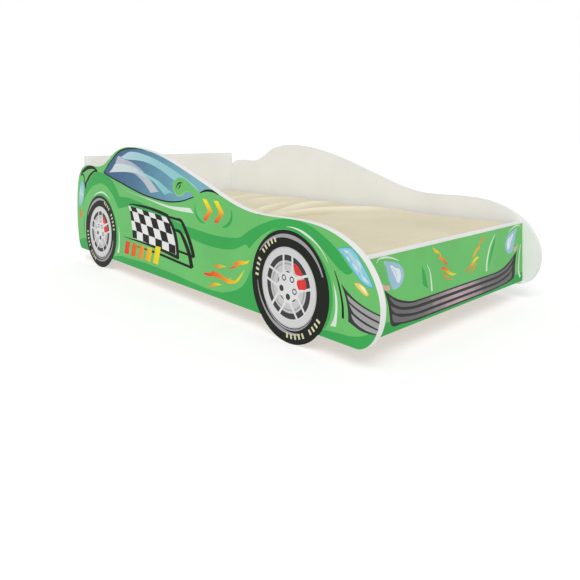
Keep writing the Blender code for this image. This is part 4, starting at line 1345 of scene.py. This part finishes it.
def make_mattress():
    """The fitted pad: simulated cover, creases, and a piped seam along its upper and lower edges."""
    cover = cotton_cover("cream_cover", "D6CEB2", "C9BF9E")
    piping = cotton_cover("cream_piping", "D0C6A6", "BDB28C")
    pad = start_mattress()
    inflate(pad)
    apply_modifier(pad, "finer", "SUBSURF", levels=1, render_levels=1)
    shape_cover(pad)
    pad.data.materials.clear()
    pad.data.materials.append(cover)
    for polygon in pad.data.polygons:
        polygon.use_smooth = True
    pad.data.update()
    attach(pad, "mattress")
    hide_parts("mattress")
    low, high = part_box("mattress")
    tree = BVHTree.FromPolygons([v.co for v in pad.data.vertices], [p.vertices[:] for p in pad.data.polygons])
    for name, z in (("upper", high.z - 0.0125), ("lower", low.z + 0.0125)):
        path = seam_path(tree, (low + high) / 2, high - low, z, 360)
        cord = tube(f"mattress_{name}_piping", path, 0.0018, piping)
        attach(cord, "mattress")


# ---------------------------------------------------------------- scene


WORLD_STRENGTH = 0.74
SUN_STRENGTH = 1.55
SUN_RISE = 50
SUN_TURN = 38
FLOOR_GLOW = 0.42


def make_camera():
    """The photograph's viewpoint: a level camera with a vertical lens shift."""
    data = bpy.data.cameras.new("camera")
    data.sensor_width = 36.0
    data.lens = CAMERA_LENS
    data.shift_y = CAMERA_SHIFT
    data.clip_start = 0.05
    data.clip_end = 100
    camera = bpy.data.objects.new("camera", data)
    camera.location = CAMERA_PLACE
    camera.rotation_euler = (math.pi / 2, 0, CAMERA_TURN)
    bpy.context.scene.collection.objects.link(camera)
    bpy.context.scene.camera = camera


def make_floor():
    """A plain pale floor, wide enough to reach the horizon."""
    recipe = Recipe("floor", Specular_IOR_Level=0.1)
    cloud = recipe.spread(recipe.noise(1.5, 3), 0, 1)
    recipe.set("Base Color", recipe.mix(cloud, linear("C6C6C5"), linear("C9C9C8")))
    recipe.set("Roughness", recipe.spread(recipe.noise(40, 2), 0.75, 0.9))
    recipe.shader.inputs["Emission Color"].default_value = (1, 1, 1, 1)
    recipe.shader.inputs["Emission Strength"].default_value = FLOOR_GLOW
    count, radius = 96, 40.0
    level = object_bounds()[0].z
    angles = [2 * math.pi * i / count for i in range(count)]
    points = [(radius * math.cos(angle), radius * math.sin(angle), level) for angle in angles]
    mesh = bpy.data.meshes.new("floor")
    mesh.from_pydata(points, [], [list(range(count))])
    mesh.materials.append(recipe.material)
    floor = bpy.data.objects.new("floor", mesh)
    bpy.context.scene.collection.objects.link(floor)


def make_sun():
    """A broad soft key light from the camera's side."""
    data = bpy.data.lights.new("key", "SUN")
    data.energy = SUN_STRENGTH
    data.angle = math.radians(35)
    sun = bpy.data.objects.new("key", data)
    rise, turn = math.radians(SUN_RISE), math.radians(SUN_TURN)
    towards = Vector((math.sin(turn) * math.cos(rise), -math.cos(turn) * math.cos(rise), math.sin(rise)))
    sun.rotation_euler = towards.to_track_quat("Z", "Y").to_euler()
    bpy.context.scene.collection.objects.link(sun)


def make_surroundings():
    """Even white surroundings; the backdrop that the camera sees has the lit floor's brightness."""
    world = bpy.data.worlds.new("studio")
    world.use_nodes = True
    nodes, links = world.node_tree.nodes, world.node_tree.links
    around, shown = nodes["Background"], nodes.new("ShaderNodeBackground")
    for background, strength in ((around, WORLD_STRENGTH), (shown, 1.0)):
        background.inputs["Color"].default_value = (1, 1, 1, 1)
        background.inputs["Strength"].default_value = strength
    path = nodes.new("ShaderNodeLightPath")
    mixer = nodes.new("ShaderNodeMixShader")
    links.new(path.outputs["Is Camera Ray"], mixer.inputs[0])
    links.new(around.outputs[0], mixer.inputs[1])
    links.new(shown.outputs[0], mixer.inputs[2])
    links.new(mixer.outputs[0], nodes["World Output"].inputs["Surface"])
    bpy.context.scene.world = world
    bpy.context.scene.view_settings.view_transform = "Standard"


make_camera()
make_sun()
make_surroundings()
dress_nodes()
inks = make_inks()
print_sides(inks)
print_foot(inks)
edging = white_laminate("edge_band", "E8E9E8", (0.28, 0.42))
band_side_panels(edging)
band_end_boards(edging)
make_mattress()
make_floor()
